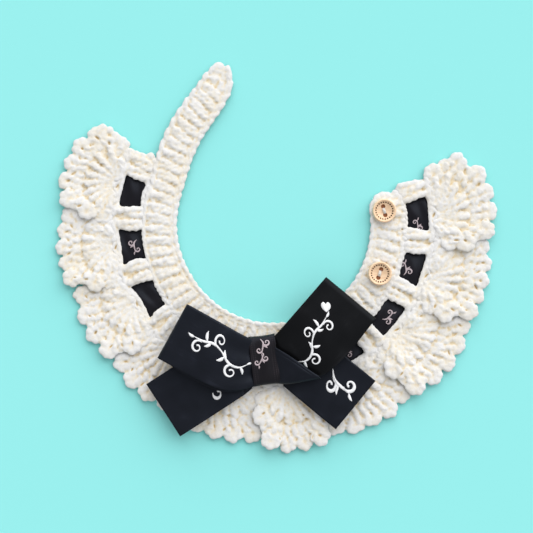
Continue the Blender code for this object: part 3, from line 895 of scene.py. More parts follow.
def row_knots(skein):
    """Knots along the windows' inner edges, beside the bow, and at the row's two ends."""
    draw = skein.draw
    for number, radius in ((1, 83.5), (3, 82.5), (7, 83.5), (8, 84.0), (9, 83.4), (10, 83.2)):
        for offset in np.arange(-8.4, 8.5, 2.4):
            angle = window_angle(number) + offset
            skein.knob(polar(radius + draw(-0.5, 0.4), angle), 2.7, draw(1.3, 1.7), 1.9,
                       heading=angle + 90.0 + draw(-25.0, 25.0), stretch=draw(1.3, 1.6))
    for radius, angle in ((84.6, 155.4), (84.4, 158.4), (83.6, 161.0)):
        skein.knob(polar(radius, angle), 2.6, 2.2, 1.8)
    for radius, angle in ((86.5, 224.0), (90.4, 224.6), (94.2, 225.4), (97.6, 225.6)):
        skein.knob(polar(radius, angle), 3.0, 2.7, 2.0, heading=angle + draw(-30.0, 30.0), stretch=1.2)
    for radius, turn, wide in ((85.0, -0.6, 2.3), (89.0, -1.5, 2.6), (93.4, 0.0, 2.4), (97.6, 0.3, 2.4),
                               (101.6, 0.5, 2.3)):
        skein.knob(polar(radius, ROW_START + turn), 3.0, wide, 2.0, heading=ROW_START + draw(-30, 30),
                   stretch=1.15)
    for radius, turn in ((84.4, -1.4), (82.9, -2.6), (82.4, -1.2)):
        skein.knob(polar(radius, ROW_END + turn), 2.8, 2.3, 1.9)


# ---------------------------------------------------------------- the ruffle

class Shell:
    """The form of one shell of the ruffle, in its own directions round the hole at its foot."""

    def __init__(self, row):
        self.__dict__.update(row)
        self.middle = window_angle(self.number)
        self.hole = np.array(polar(101.4 - rail_pull(self.number), self.middle - 0.6))
        self.out = np.array(polar(1.0, self.middle))
        self.ccw = np.array((-self.out[1], self.out[0]))
        self.low = -84.0 if self.back > FREE_SPREAD else -78.0
        self.high = 84.0 if self.front > FREE_SPREAD else 78.0
        turns = (np.arange(self.picots) + 0.5) / self.picots
        tips = [self.aim(self.rim(turn)) for turn in turns]
        (behind, more), (before, further) = (self.flank(sign, tips) for sign in (-1, 1))
        self.table = np.array(sorted(tips + behind + before))
        sides = [(aim, far or self.reach_at(aim)) for aim, far in more + further if abs(aim) < 88.0]
        self.tips = sorted(tips + sides)

    def flank(self, sign, tips):
        """One side's outline past the tips, and its own picots: directions and distances (0: as there)."""
        spread, over = (self.front, self.over_front) if sign > 0 else (self.back, self.over_back)
        corner = self.aim(self.rim(max(sign, 0.0), 0.96))
        if spread > FREE_SPREAD:
            wide = abs(corner[0])
            outline = [corner, (sign * (wide + 12.0), corner[1] * 0.72), (sign * (wide + 26.0), 20.0)]
            return outline, [(sign * (wide + 9.0), corner[1] * 0.80)]
        last = abs(max(tips, key=lambda tip: sign * tip[0])[0])
        picots = [(sign * (last + 24.0), 0.0), (sign * (last + 44.0), 0.0)]
        outline = [corner, (sign * 60.0, 27.0), (sign * 75.0, 22.5), (sign * 95.0, 19.5)]
        return outline, picots if over else picots[:1]

    def rim(self, turn, share=1.0):
        """A point of the shell's outline."""
        rim = turn * (self.back + self.front) - self.back
        side = "front" if rim > 0 else "back"
        reach = self.reach - getattr(self, f"drop_{side}") * abs(rim / getattr(self, side)) ** 3
        radius = R_SHELL + share * (reach - R_SHELL)
        return np.array(polar(radius, self.middle + rim))

    def cut(self):
        """The shell's depth, width and area, as it was worked."""
        turns = np.linspace(0.0, 1.0, 41)
        rim = np.array([self.rim(turn) for turn in turns])
        foot = np.array([self.rim(turn, 0.0) for turn in turns])
        ring = np.vstack([rim, foot[::-1]])
        after = np.roll(ring, -1, axis=0)
        area = abs(float((ring[:, 0] * after[:, 1] - ring[:, 1] * after[:, 0]).sum())) / 2
        wide = (rim - rim.mean(0)) @ self.ccw
        return self.reach - R_SHELL, float(np.ptp(wide)), area

    def aim(self, spot):
        """Direction from the hole, in degrees anticlockwise of outwards, and distance."""
        away = np.asarray(spot) - self.hole
        return math.degrees(math.atan2(away @ self.ccw, away @ self.out)), float(np.hypot(*away))

    def reach_at(self, direction):
        """Distance from the hole to the outline in a direction."""
        return float(np.interp(direction, self.table[:, 0], self.table[:, 1]))

    def tall(self, direction):
        """Distance from the hole to the heads of the tall stitches."""
        reach = self.reach_at(direction)
        return reach * (0.555 + 0.13 * smooth((abs(direction) - 40.0) / 35.0))

    def short(self, direction):
        """Distance from the hole to the heads of the short stitches."""
        tall = self.tall(direction)
        return tall + 0.42 * (self.reach_at(direction) - tall)

    def place(self, direction, distance, slip=0.0):
        """x and y at a distance from the hole."""
        angle = math.radians(direction)
        return self.hole + self.out * math.cos(angle) * distance + self.ccw * (
            math.sin(angle) * distance + slip)

    def lift(self, line):
        """Height of the shell's underside at points."""
        line = np.atleast_2d(line)
        radius = np.hypot(line[:, 0], line[:, 1])
        angle = np.degrees(np.arctan2(line[:, 1], line[:, 0]))
        offset = (angle - self.middle + 180.0) % 360.0 - 180.0
        over = np.where(offset > 0, self.over_front, self.over_back)
        free = np.where(offset > 0, self.front, self.back) > FREE_SPREAD
        rise = np.where(over > 0.0, LAP_RISE * over, np.where(free, 0.0, -LAP_SINK))
        climb = smooth((np.abs(offset) - LAP_START) / (LAP_FULL - LAP_START))
        share = (radius - R_SHELL) / (self.reach - R_SHELL)
        return rise * climb * smooth(share / 0.4)

    def lift_at(self, spot):
        """Height of the shell's underside at one place."""
        return float(self.lift(spot)[0])


def make_shell(shell):
    """Tall stitches from the hole, their heads, short stitches, then the picots."""
    skein = Skein(f"fan_{shell.number:02d}_crochet", 20 + shell.number)
    plan = []
    for direction in np.linspace(shell.low - 8.0, shell.high + 8.0, 40):
        reach = shell.reach_at(direction) - 4.2
        plan.append([shell.place(direction, share * reach) for share in np.linspace(0.08, 1.0, 14)])
    heights = np.interp(np.linspace(0, 1, 14), (0.0, 0.2, 0.8, 1.0), (2.4, 3.5, 3.7, 3.0))
    skein.web(plan, 0.5, heights, shell.lift)
    for direction in np.linspace(shell.low, shell.high, SHELL_POSTS):
        shell_post(skein, shell, direction)
    shell_foot(skein, shell)
    if shell.number < WINDOWS:
        shell_seam(skein, shell)
    for direction in np.linspace(shell.low + 4.0, shell.high - 4.0, 2 * len(shell.tips) + 1):
        shell_short(skein, shell, direction)
    shell_rim(skein, shell)
    if shell.back > FREE_SPREAD:
        for radius, angle in FREE_KNOTS:
            skein.knob(polar(radius, angle), 3.0, skein.draw(2.5, 2.8), 2.1)
        shell_edge(skein, shell, -1)
    if shell.front > FREE_SPREAD:
        shell_edge(skein, shell, 1)
    return skein


def shell_post(skein, shell, direction):
    """A tall stitch that fans out of the hole, with a chain link on its head."""
    draw = skein.draw
    direction += draw(-1.5, 1.5)
    far = shell.tall(direction) + draw(-0.8, 0.8)
    points = []
    for share, height in ((0.12, 2.4), (0.3, 3.2), (0.55, 3.6), (0.85, 3.6), (1.0, 2.8)):
        slip = direction / 80.0 * 1.6 * (1 - share)
        points.append((*shell.place(direction + draw(-1.0, 1.0), far * share, slip), height))
    skein.rope(points, 1.9, 1.3, draw(0.3, 0.6), lift=shell.lift, flat=0.5, phase=draw(-0.25, -0.05),
               grow=(0.55, 1.22), pinch=0.94)
    lean = draw(2.0, 4.5)
    start, end = shell.place(direction - lean, far - 0.6), shell.place(direction + lean, far + 0.8)
    skein.bead(start, end, 1.75, 3.8, low=2.8, lift=shell.lift_at((start + end) / 2), bow=0.5)


def shell_foot(skein, shell):
    """Knots where the shell meets the rail, which is pulled in beside the window."""
    draw = skein.draw
    skein.knob(polar(R_RAIL + 1.5 - rail_pull(shell.number), shell.middle - 0.7), 3.0, 2.0, 1.5)
    for offset in (-9.4, -7.4, -5.3, -3.2, 2.6, 4.6, 6.7, 8.8, 10.6):
        offset += draw(-0.3, 0.3)
        radius = R_RAIL + 0.1 - rail_pull(shell.number, offset) + draw(-0.4, 0.4)
        if radius < R_RAIL + 2.0 and ROW_START + 2.0 < shell.middle + offset < ROW_END - 2.0:
            skein.knob(polar(radius, shell.middle + offset), 3.7, draw(1.45, 1.75), 1.4,
                       heading=shell.middle + draw(-50.0, 50.0), stretch=draw(1.1, 1.5))


def shell_seam(skein, shell):
    """The stitches that join a shell's foot to the next one's."""
    draw = skein.draw
    middle = shell.middle + WINDOW_PITCH / 2
    end = 111.0 if shell.number < 8 else 119.0
    plan = [[polar(radius, middle + offset) for offset in np.linspace(-5.4, 5.4, 8)]
            for radius in np.linspace(R_RAIL, end, 10)]
    skein.web(plan, 0.4, 2.8)
    for radius in np.arange(112.5, end, 3.6):
        skein.knob(polar(radius, middle + draw(-1.5, 1.5)), 2.6, 2.4, 1.9)
    for at in (-5.6, -1.8, 2.0):
        skein.bead(polar(103.0, middle + at - 0.3), polar(104.2, middle + at + 3.6), 1.8, 3.6, low=2.6)
    for offset in (-1.1, 1.1):
        points = [(*polar(radius, middle + share * offset), height)
                  for radius, share, height in ((102.0, 1.5, 2.4), (107.5, 1.0, 3.1), (113.5, 0.5, 2.4))]
        skein.rope(points, 1.9, 1.2, 0.35, flat=0.6)


def shell_short(skein, shell, direction):
    """A short stitch between the tall stitches' heads and the picots."""
    draw = skein.draw
    direction += draw(-1.4, 1.4)
    foot, head = shell.tall(direction) + 1.2, shell.short(direction) + 0.8
    points = [
        (*shell.place(direction - draw(0, 2), foot), 2.6),
        (*shell.place(direction, (foot + head) / 2), 3.4),
        (*shell.place(direction + draw(0, 2), head), 2.8),
    ]
    skein.rope(points, 1.8, 1.0, draw(0.2, 0.5), lift=shell.lift, flat=0.6, phase=draw(-0.25, 0.1),
               pinch=0.9)


def shell_rim(skein, shell):
    """The picots, then the knots and small holes between them."""
    draw = skein.draw
    necks = np.array([shell.place(direction, reach * 0.88) for direction, reach in shell.tips])
    gaps = np.hypot(*np.diff(necks, axis=0).T)
    for number, (direction, reach) in enumerate(shell.tips):
        beside = gaps[max(number - 1, 0):number + 1]
        half = min(6.6, max(4.9, sum(beside) / len(beside) * 0.52))
        make_picot(skein, shell, direction, reach + draw(-0.2, 1.1), half)
    for (first, near), (second, far) in zip(shell.tips, shell.tips[1:]):
        middle, reach = (first + second) / 2 + draw(-1.0, 1.0), (near + far) / 2
        spot = shell.place(middle, reach - draw(6.2, 7.2))
        skein.knob(spot, 2.8, draw(2.3, 2.7), 2.0, lift=shell.lift_at(spot))
        skein.pit(shell.place(middle, reach - draw(7.4, 9.0)), shell.middle + middle + draw(-50, 50),
                  draw(2.4, 4.2), draw(1.3, 2.0), draw(1.4, 2.6))


def shell_edge(skein, shell, side):
    """Knots along a side that lies free."""
    draw = skein.draw
    for near in np.arange(7.0, shell.reach_at(side * 88.0) - 3.0, 4.3):
        spot = shell.place(side * 91.0, near + draw(-0.3, 0.3))
        skein.knob(spot, 3.0, draw(2.3, 2.6), 2.1, heading=shell.middle + draw(-30, 30), stretch=1.12)


def make_picot(skein, shell, direction, reach, half):
    """A round lobe of the rim: a few fat knots in an arch over a small hole, on two short legs."""
    draw = skein.draw
    foot = reach - min(shell.short(direction) - 1.0, reach - 10.5)
    angle = math.radians(direction)
    out = shell.out * math.cos(angle) + shell.ccw * math.sin(angle)
    side = np.array((-out[1], out[0]))

    def spot(deep, across):
        return shell.hole + out * (reach - deep) + side * across

    course = ((foot, 0.8, 2.5), (0.75 * foot, 0.85, 3.2), (half + 1.6, 0.75, 3.3), (half - 0.4, 0.6, 2.8))
    for turn in (-1, 1):
        points = [(*spot(deep, turn * across * 3.0 + draw(-0.2, 0.2)), height)
                  for deep, across, height in course]
        skein.rope(points, 1.85, 0.8, draw(0.4, 0.7), lift=shell.lift, flat=0.8, phase=draw(-0.1, 0.1),
                   pinch=0.95)
    lift = shell.lift_at(spot(half, 0.0))
    heading = math.degrees(math.atan2(out[1], out[0]))
    skein.knob(spot(half + 0.1, 0.0), 2.9, 0.87 * half, 1.75, lift=lift)
    for turn in (-104.0, -50.0, 2.0, 54.0, 106.0):
        turn += draw(-11.0, 11.0)
        wide = half * draw(0.44, 0.54)
        arch = half - wide + draw(-0.3, 0.15)
        place = spot(half - arch * math.cos(math.radians(turn)), arch * math.sin(math.radians(turn)))
        skein.knob(place, 3.1 + draw(-0.15, 0.25), wide, 2.15, lift=lift,
                   heading=heading + turn + draw(-40, 40), stretch=draw(1.0, 1.22))
    if draw(0.0, 1.0) < 0.45:
        skein.pit(spot(half + draw(0.2, 2.4), draw(-1.0, 1.0)), heading + draw(-50, 50), draw(2.0, 3.2),
                  draw(1.3, 1.8), draw(1.4, 2.4))


# ---------------------------------------------------------------- ribbons

def make_woven(material):
    """The narrow ribbon threaded under the stitch pairs, standing a little proud in the windows."""
    rows = []
    for angle in np.arange(WOVEN_START, WOVEN_END + 0.01, 0.5):
        inner = R_BAND + 0.3 + strap_drift(angle)
        nearest = min(range(1, WINDOWS + 1), key=lambda k: abs(window_angle(k) - angle))
        offset = (angle - window_angle(nearest)) / (WINDOW_HALF + 1.2)
        rise = math.cos(math.pi / 2 * min(1.0, abs(offset))) ** 1.2
        row = []
        for share in np.linspace(0.0, 1.0, 17):
            fold = 0.55 * math.sin(TAU * (share * 1.7 + 0.31 * nearest) + 0.3 * angle)
            edge = 0.35 * (2 * abs(share - 0.5)) ** 4
            height = WOVEN_REST + rise * (WOVEN_RISE + fold - edge)
            row.append((*polar(inner + share * (R_RIBBON - inner), angle), height))
        rows.append(row)
    grid = np.array(rows)
    return make_cloth("woven_ribbon_satin", grid, material), grid


# ---------------------------------------------------------------- the bow

def resampled(line, count):
    """A line's points, evenly resampled to a count."""
    old, new = np.linspace(0.0, 1.0, len(line)), np.linspace(0.0, 1.0, count)
    return np.column_stack([np.interp(new, old, line[:, axis]) for axis in range(3)])


def panel(rows, key="z", columns=41, bow=0.0):
    """A flat panel of ribbon between its edges, from the knot outwards: a grid of points."""
    edges = [curve_through([(row[f"{side}_x"], row[f"{side}_y"], row[key]) for row in rows], 1.0)
             for side in ("upper", "lower")]
    count = max(len(edge) for edge in edges)
    upper, lower = (resampled(edge, count) for edge in edges)
    across = unit((lower - upper) * (1.0, 1.0, 0.0))
    out = np.sin(np.pi * np.linspace(0.0, 1.0, count))[:, None] * bow
    upper, lower = upper - across * EDGE, lower + across * (EDGE + out)
    share = np.linspace(0.0, 1.0, columns)[None, :, None]
    return upper[:, None, :] * (1.0 - share) + lower[:, None, :] * share


def shares(grid):
    """How far along and across a panel each of its points is, from 0 to 1."""
    rows, columns = grid.shape[:2]
    return np.linspace(0.0, 1.0, rows)[:, None], np.linspace(0.0, 1.0, columns)[None, :]


def sag(grid, knot):
    """Gathers that fan out of the knot and fade, and a soft belly between the edges."""
    away, across = shares(grid)
    waves = np.sin(TAU * (across * 2.3 + knot)) * np.exp(-away * 3.2)
    belly = np.sin(np.pi * across) * np.sin(np.pi * away) * 0.9
    drift = 0.35 * np.sin(TAU * (0.9 * away + 0.7 * across + knot)) * smooth(away * 3.0)
    grid = grid.copy()
    grid[:, :, 2] += 0.6 * waves + belly + drift * (1.0 - away)
    return grid


def make_loop(rows, knot, bow=0.0, dip=None):
    """A loop of the bow, out along the back, round its end and home along the front; and the front."""
    back = panel(rows, "z", bow=bow)
    front = sag(panel(rows, "front_z"), knot)
    if dip:
        front[:, :, 2] += dip(front)
    start, end = back[-1], front[-1]
    across = unit((end[-1] - end[0]) * (1.0, 1.0, 0.0))
    outward = np.array((across[1], -across[0], 0.0))
    if outward @ (back[-1] - back[0]).mean(0) < 0:
        outward = -outward
    for sheet in (back, front):
        away, _ = shares(sheet)
        sheet += outward * (PRESS * away ** 3)[:, :, None]
    turn = np.linspace(0.0, np.pi, 9)[1:-1, None, None]
    middle, radius = (start + end) / 2, (end[:, 2] - start[:, 2])[None, :, None] / 2
    fold = middle[None] + outward * radius * np.sin(turn) - radius * np.cos(turn) * (0.0, 0.0, 1.0)
    return np.concatenate([back, fold, front[::-1]]), front


def right_dip(grid):
    """How the right loop's front sinks as it goes under the fold."""
    start, end = (np.array((row[0], row[1])) for row in (RIGHT_FOLD[0], RIGHT_FOLD[-1]))
    ahead = unit(end - start)
    along = (grid[:, :, :2] - start) @ ahead
    above = (grid[:, :, 0] - start[0]) * -ahead[1] + (grid[:, :, 1] - start[1]) * ahead[0]
    fade = smooth((44.0 - along) / 12.0)
    return -2.2 * fade * np.exp(-np.maximum(above + 1.0, 0.0) / 5.0) - 0.4


def right_fold():
    """The fold over the right loop's corner, its upper edge a soft roll."""
    grid = panel(records(TAIL_COLUMNS, RIGHT_FOLD), columns=33)
    away, _ = shares(grid)
    wide = np.linalg.norm(grid[:, -1] - grid[:, 0], axis=1)[:, None]
    from_edge = np.linspace(0.0, 1.0, 33)[None, :] * wide
    roll = -0.5 * np.exp(-(from_edge / 0.45) ** 2) - 0.35 * np.exp(-((from_edge - 2.3) / 0.4) ** 2)
    under = -1.0 * np.exp(-((wide - from_edge) / 0.8) ** 2)
    grid[:, :, 2] += roll * smooth((1.0 - away) * 3.0) + under + 0.4 * np.sin(np.pi * from_edge / wide)
    return grid


def tail_grid(rows, knot):
    """A free end of the bow."""
    grid = panel(rows)
    away, across = shares(grid)
    grid[:, :, 2] += 0.5 * np.sin(TAU * (across + knot)) * smooth(away * 3.0) * (1.0 - 0.5 * away)
    return grid


class Print:
    """Strokes printed on a ribbon: thin skins that follow its face."""

    def __init__(self, grid):
        push = normals(grid)
        self.push = push * np.where(push[..., 2:] < 0.0, -1.0, 1.0)
        self.grid = grid
        self.points, self.faces, self.count = [], [], 0
        self.along, self.wide = spans(grid)

    def on_face(self, spots, lift):
        """Places on the ribbon's face, from (along, across) in mm."""
        i = np.interp(spots[..., 0], self.along, np.arange(len(self.along)))
        j = np.interp(spots[..., 1], self.wide, np.arange(len(self.wide)))
        row = np.clip(i.astype(int), 0, len(self.along) - 2)
        column = np.clip(j.astype(int), 0, len(self.wide) - 2)
        down, over = (i - row)[..., None], (j - column)[..., None]
        surface = self.grid + self.push * lift
        near = surface[row, column] * (1 - down) + surface[row + 1, column] * down
        far = surface[row, column + 1] * (1 - down) + surface[row + 1, column + 1] * down
        return near * (1 - over) + far * over

    def stroke(self, spots, widths, raised=0.0):
        """A brush stroke through places, with a width at each."""
        line = curve_through(np.column_stack([spots, np.zeros(len(spots))]), 0.45)[:, :2]
        share = np.linspace(0.0, 1.0, len(line))
        half = np.interp(share, np.linspace(0.0, 1.0, len(widths)), widths) / 2
        ahead = unit(np.gradient(line, axis=0))
        side = np.column_stack([-ahead[:, 1], ahead[:, 0]]) * half[:, None]
        plan = line[:, None, :] + side[:, None, :] * np.array((1.0, 0.0, -1.0))[None, :, None]
        for lift in (INK_TOP + raised, INK_TOP - 0.15):
            self.points.append(self.on_face(plan, lift).reshape(-1, 3))
        row, column, under = np.moveaxis(slab_faces(np.ones((len(line) - 1, 2), bool)), -1, 0)
        self.faces.append(self.count + row * 3 + column + under * 3 * len(line))
        self.count += 6 * len(line)

    def build(self, name, material):
        """Make the mesh object."""
        return make_mesh(name, np.vstack(self.points), np.vstack(self.faces), material)


class Pen:
    """Draws on a print from a place, in a heading, at a scale."""

    def __init__(self, target, along, across, heading, size):
        c, s = math.cos(math.radians(heading)), math.sin(math.radians(heading))
        self.turn = np.array(((c, s), (-s, c))) * size
        self.start = np.array((along, across))
        self.target, self.size = target, size

    def line(self, spots, *widths, raised=0.0):
        """A stroke through places, with widths along it."""
        places = self.start + np.array(spots) @ self.turn
        self.target.stroke(places, [wide * self.size for wide in widths], raised)

    def curl(self, x, y, radius, start, turns, spin, wide=0.11):
        """A tendril that winds in on itself from its outer end."""
        share = np.linspace(0.0, 1.0, 22)
        angle = np.radians(start) + spin * TAU * turns * share
        reach = radius * (1.0 - 0.80 * share)
        spots = np.column_stack([x + reach * np.cos(angle), y + reach * np.sin(angle)])
        self.line(spots, 0.25 * wide, wide, 0.95 * wide, 0.5 * wide, 0.7 * wide)

    def leaf(self, x, y, heading, length):
        """A small pointed leaf."""
        c, s = math.cos(math.radians(heading)), math.sin(math.radians(heading))
        ahead, aside = np.array((c, s)), np.array((-s, c))
        spots = [np.array((x, y)) + ahead * length * share + aside * length * bend
                 for share, bend in ((0.0, 0.0), (0.35, 0.09), (0.7, 0.07), (1.0, -0.04))]
        self.line(spots, 0.02, 0.34 * length, 0.30 * length, 0.02)

    def heart(self, x, y, size):
        """A heart, from two fat strokes that meet at its point."""
        lobe = ((0.0, -1.0, 0.02), (0.15, -0.62, 0.46), (0.30, -0.22, 0.84), (0.42, 0.15, 1.06),
                (0.46, 0.42, 1.10), (0.46, 0.66, 0.90), (0.45, 0.85, 0.22))
        for side in (-1, 1):
            spots = [(x + size * a * side, y + size * b) for a, b, _ in lobe]
            self.line(spots, *(size * wide for _, _, wide in lobe), raised=0.02 * side)


def vine(pen):
    """A wavy stem with tendrils and leaves, about 3 long and 1 high."""
    stem = ((0.0, -0.15), (0.35, 0.10), (0.85, 0.12), (1.35, -0.12), (1.85, -0.16), (2.35, 0.08),
            (2.8, 0.20))
    pen.line(stem, 0.03, 0.10, 0.13, 0.06, 0.12, 0.10, 0.03)
    pen.curl(0.62, 0.44, 0.34, -110, 1.25, 1)
    pen.curl(1.62, -0.48, 0.34, 110, 1.25, -1)
    pen.curl(2.42, 0.46, 0.30, -100, 1.2, 1)
    for leaf in ((0.30, 0.06, 128, 0.40), (0.98, 0.08, -52, 0.46), (1.16, 0.0, 58, 0.42),
                 (1.98, -0.12, 62, 0.40), (2.16, -0.04, -58, 0.46), (2.78, 0.19, 12, 0.36),
                 (0.02, -0.14, -150, 0.34)):
        pen.leaf(*leaf)


def sprig(pen):
    """Two tendrils and a few leaves, about 1 long."""
    pen.line(((0.0, 0.0), (0.3, 0.12), (0.62, 0.02), (0.95, -0.12)), 0.03, 0.12, 0.10, 0.03)
    pen.curl(0.34, 0.36, 0.26, -110, 1.15, 1, wide=0.12)
    pen.curl(0.74, -0.28, 0.24, 110, 1.15, -1, wide=0.12)
    pen.leaf(0.52, 0.06, 52, 0.34)
    pen.leaf(0.94, -0.12, 8, 0.30)


def knot_grid():
    """The wrap round the gathers, as a closed band."""
    turn = math.radians(KNOT_TURN)
    rows = []
    for angle in np.linspace(0.0, TAU, 96, endpoint=False):
        c, s = math.cos(angle), math.sin(angle)
        along = math.copysign(abs(c) ** 0.35, c) * (KNOT_LENGTH / 2 + 0.1)
        height = math.copysign(abs(s) ** 0.55, s) * ((KNOT_HIGH - KNOT_LOW) / 2 - 0.3)
        row = []
        for across in np.linspace(-0.5, 0.5, 33):
            waist = 1.0 - 0.03 * (1.0 - abs(2 * across) ** 2) * abs(c)
            crown = 0.4 * math.cos(math.pi * across) * s + 0.22 * math.sin(TAU * across * 1.7 + 0.8) * s
            x = KNOT_CENTRE[0] + across * KNOT_WIDTH * math.cos(turn) - along * waist * math.sin(turn)
            y = KNOT_CENTRE[1] + across * KNOT_WIDTH * math.sin(turn) + along * waist * math.cos(turn)
            row.append((x, y, (KNOT_LOW + KNOT_HIGH) / 2 + height + crown - 0.3 * (s > 0)))
        rows.append(row)
    return np.array(rows)


# ---------------------------------------------------------------- buttons

def turned(name, profile, material):
    """A body turned on a lathe, from (radius, height) pairs that begin and end on its axis."""
    body = bmesh.new()
    angles = [TAU * k / BUTTON_SIDES for k in range(BUTTON_SIDES)]
    rings = []
    for radius, height in profile:
        if radius == 0.0:
            rings.append([body.verts.new((0.0, 0.0, height))] * BUTTON_SIDES)
            continue
        ring = [(radius * math.cos(angle), radius * math.sin(angle), height) for angle in angles]
        rings.append([body.verts.new(spot) for spot in ring])
    for a, b in zip(rings, rings[1:]):
        for k in range(BUTTON_SIDES):
            after = (k + 1) % BUTTON_SIDES
            body.faces.new(list(dict.fromkeys((a[k], b[k], b[after], a[after]))))
    bmesh.ops.recalc_face_normals(body, faces=body.faces)
    return from_bmesh(name, body, material)


def from_bmesh(name, body, material):
    """An object from a bmesh, which is used up."""
    mesh = bpy.data.meshes.new(name)
    body.to_mesh(mesh)
    body.free()
    mesh.materials.append(material)
    return put(name, mesh)


def cut(item, label, spots, material, radius, foot, low, high, sides):
    """Cut holes down into an object, each narrower at its foot, and line them with a material."""
    body = bmesh.new()
    for x, y in spots:
        made = bmesh.ops.create_cone(body, cap_ends=True, segments=sides, radius1=foot, radius2=radius,
                                     depth=high - low)
        bmesh.ops.translate(body, verts=made["verts"], vec=(x, y, (low + high) / 2))
    cutter = from_bmesh(label, body, material)
    bore = item.modifiers.new(label, "BOOLEAN")
    bore.operation = "DIFFERENCE"
    bore.solver = "EXACT"
    bore.material_mode = "TRANSFER"
    bore.object = cutter
    item.data = modified(item)
    bpy.data.objects.remove(cutter)


def make_button(name, x, y, turn, timber, burnt, hole_shade):
    """A turned button: raised rim, dished face, a ring of burnt dots, and two holes that stop short of its
    foot, lined in dark brown as painted shade.
    """
    button = turned(name, BUTTON_PROFILE, timber)
    dots = [polar(5.3, turn + 8.2 + k * 16.36) for k in range(22)]
    cut(button, "dots", dots, burnt, 0.47, 0.47, 1.65, 6.0, 16)
    holes = [polar(BUTTON_HOLE_OFFSET, turn + k * 180.0) for k in range(2)]
    # The holes end on a thin floor and are lined in dark brown: painted shade for the shadow down in them
    radius = BUTTON_HOLE_R + 0.25
    cut(button, "holes", holes, hole_shade, radius, radius - 0.6, 0.25, 2.0, 32)
    for vertex in button.data.vertices:
        vertex.co = in_frame([vertex.co.x + x, vertex.co.y + y, vertex.co.z + BUTTON_Z])
    button.data.shade_smooth()
    button.data.set_sharp_from_angle(angle=math.radians(32.0))
    return button


def make_thread(name, x, y, turn, material):
    """White thread through a button's holes: two passes from hole to hole, and two that cross them."""
    skein = Skein(name, 5)
    top = BUTTON_Z + 1.3
    ahead = np.array(polar(1.0, turn))
    side = np.array((-ahead[1], ahead[0]))
    middle = np.array((x, y))
    for slip, rise in ((-0.48, 0.5), (0.48, 0.6)):
        half = ((1.5, -0.8), (1.45, -0.4), (1.15, 0.15), (0.6, rise))
        points = []
        for along, height in [(-far, height) for far, height in half] + list(half[::-1]):
            spot = middle + ahead * along + side * (slip * (1.0 - 0.16 * abs(along)) + 0.12 * along)
            points.append((*spot, top + height))
        skein.strand(curve_through(points, 0.3), 0.50, taper=0.4, twist=2.6)
    for slip in (-0.35, 0.4):
        points = []
        for across, height in ((-0.75, 0.4), (-0.35, 1.15), (0.35, 1.15), (0.75, 0.4)):
            spot = middle + side * across + ahead * (slip + 0.2 * across)
            points.append((*spot, top + height))
        skein.strand(curve_through(points, 0.25), 0.36, taper=0.3, twist=2.6)
    return skein.build(material, cell=0.12, rounds=1, fluff=0.05)


# ---------------------------------------------------------------- scene

def make_stage():
    """Floor, camera and light."""
    bpy.ops.mesh.primitive_plane_add(size=6.0, location=(0.0, 0.0, 0.0))
    floor = bpy.context.object
    floor.name = "floor"
    floor.data.materials.append(plain("floor", FLOOR_COLOUR, 0.9))
    scene = bpy.context.scene
    scene.view_settings.view_transform = "Standard"
    scene.camera = put("camera", bpy.data.cameras.new("camera"))
    scene.camera.location = CAMERA_SPOT
    scene.camera.data.lens = LENS
    scene.camera.data.sensor_width = SENSOR
    sun = put("key", bpy.data.lights.new("key", "SUN"))
    sun.location = SUN_SPOT
    sun.rotation_mode = "QUATERNION"
    sun.rotation_quaternion = (-Vector(SUN_SPOT)).to_track_quat("-Z", "Y")
    sun.data.angle = math.radians(SUN_SPREAD)
    sun.data.energy = SUN_POWER
    sun.data.color = SUN_COLOUR
    scene.world = bpy.data.worlds.new("studio")
    scene.world.use_nodes = True
    sky = scene.world.node_tree.nodes["Background"]
    sky.inputs["Color"].default_value = (1.0, 1.0, 1.0, 1.0)
    sky.inputs["Strength"].default_value = SKY_POWER


def show(piece, node=None):
    """Let a piece ride on the one body, and stand for a CAD node."""
    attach(piece, "root")
    if node:
        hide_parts(node)
    return piece


def show_cotton(yarn):
    """The neckband, the eyelet row and the shells of the ruffle, each a sheet of crochet laid flat."""
    band_area = float(np.sum(np.diff(BAND_ALONG) * (BAND[1:, 3] + BAND[:-1, 3]) / 2))
    row_width, row_length = R_RAIL - R_BAND, math.radians(ROW_END - ROW_START) * (R_BAND + R_RAIL) / 2
    windows = WINDOWS * math.radians(2 * WINDOW_HALF) * WINDOW_R * WINDOW_DEEP
    row_area = row_width * row_length - windows
    made = [
        (make_neckband(), "neckband", "cotton_band", (R_BAND - R_NECK + 2.0, BAND_LENGTH, band_area)),
        (make_eyelet_row(), "eyelet_row", "cotton_row", (row_width, row_length, row_area)),
    ]
    for record in records(SHELL_COLUMNS, SHELLS):
        shell = Shell(record)
        made.append((make_shell(shell), f"fan_{shell.number:02d}", "cotton_ruffle", shell.cut()))
    for skein, node, slot, (wide, long, area) in made:
        piece = show(skein.build(yarn), node)


def show_woven_ribbon():
    """The narrow ribbon in the windows, and its print."""
    faded = plain("print_faded", (0.50, 0.42, 0.45), 0.6)
    narrow = satin("satin_narrow_black", (0.0105, 0.0090, 0.0115), NARROW_RIBBON)
    woven, grid = make_woven(narrow)
    show(woven, "woven_ribbon")
    prints = Print(grid)
    for number, along_shift, across, heading, size in (
        (2, -3.5, 4.6, 20.0, 8.0), (7, 2.2, 10.3, -15.0, 7.5), (8, 1.0, 8.0, 30.0, 8.0),
        (9, -2.0, 5.5, -5.0, 8.5), (10, -7.0, 7.5, 15.0, 7.0),
    ):
        along = math.radians(window_angle(number) - WOVEN_START) * (R_BAND + R_RIBBON) / 2
        sprig(Pen(prints, along + along_shift, across, heading, size))
    ink = show(prints.build("woven_ribbon_print", faded))


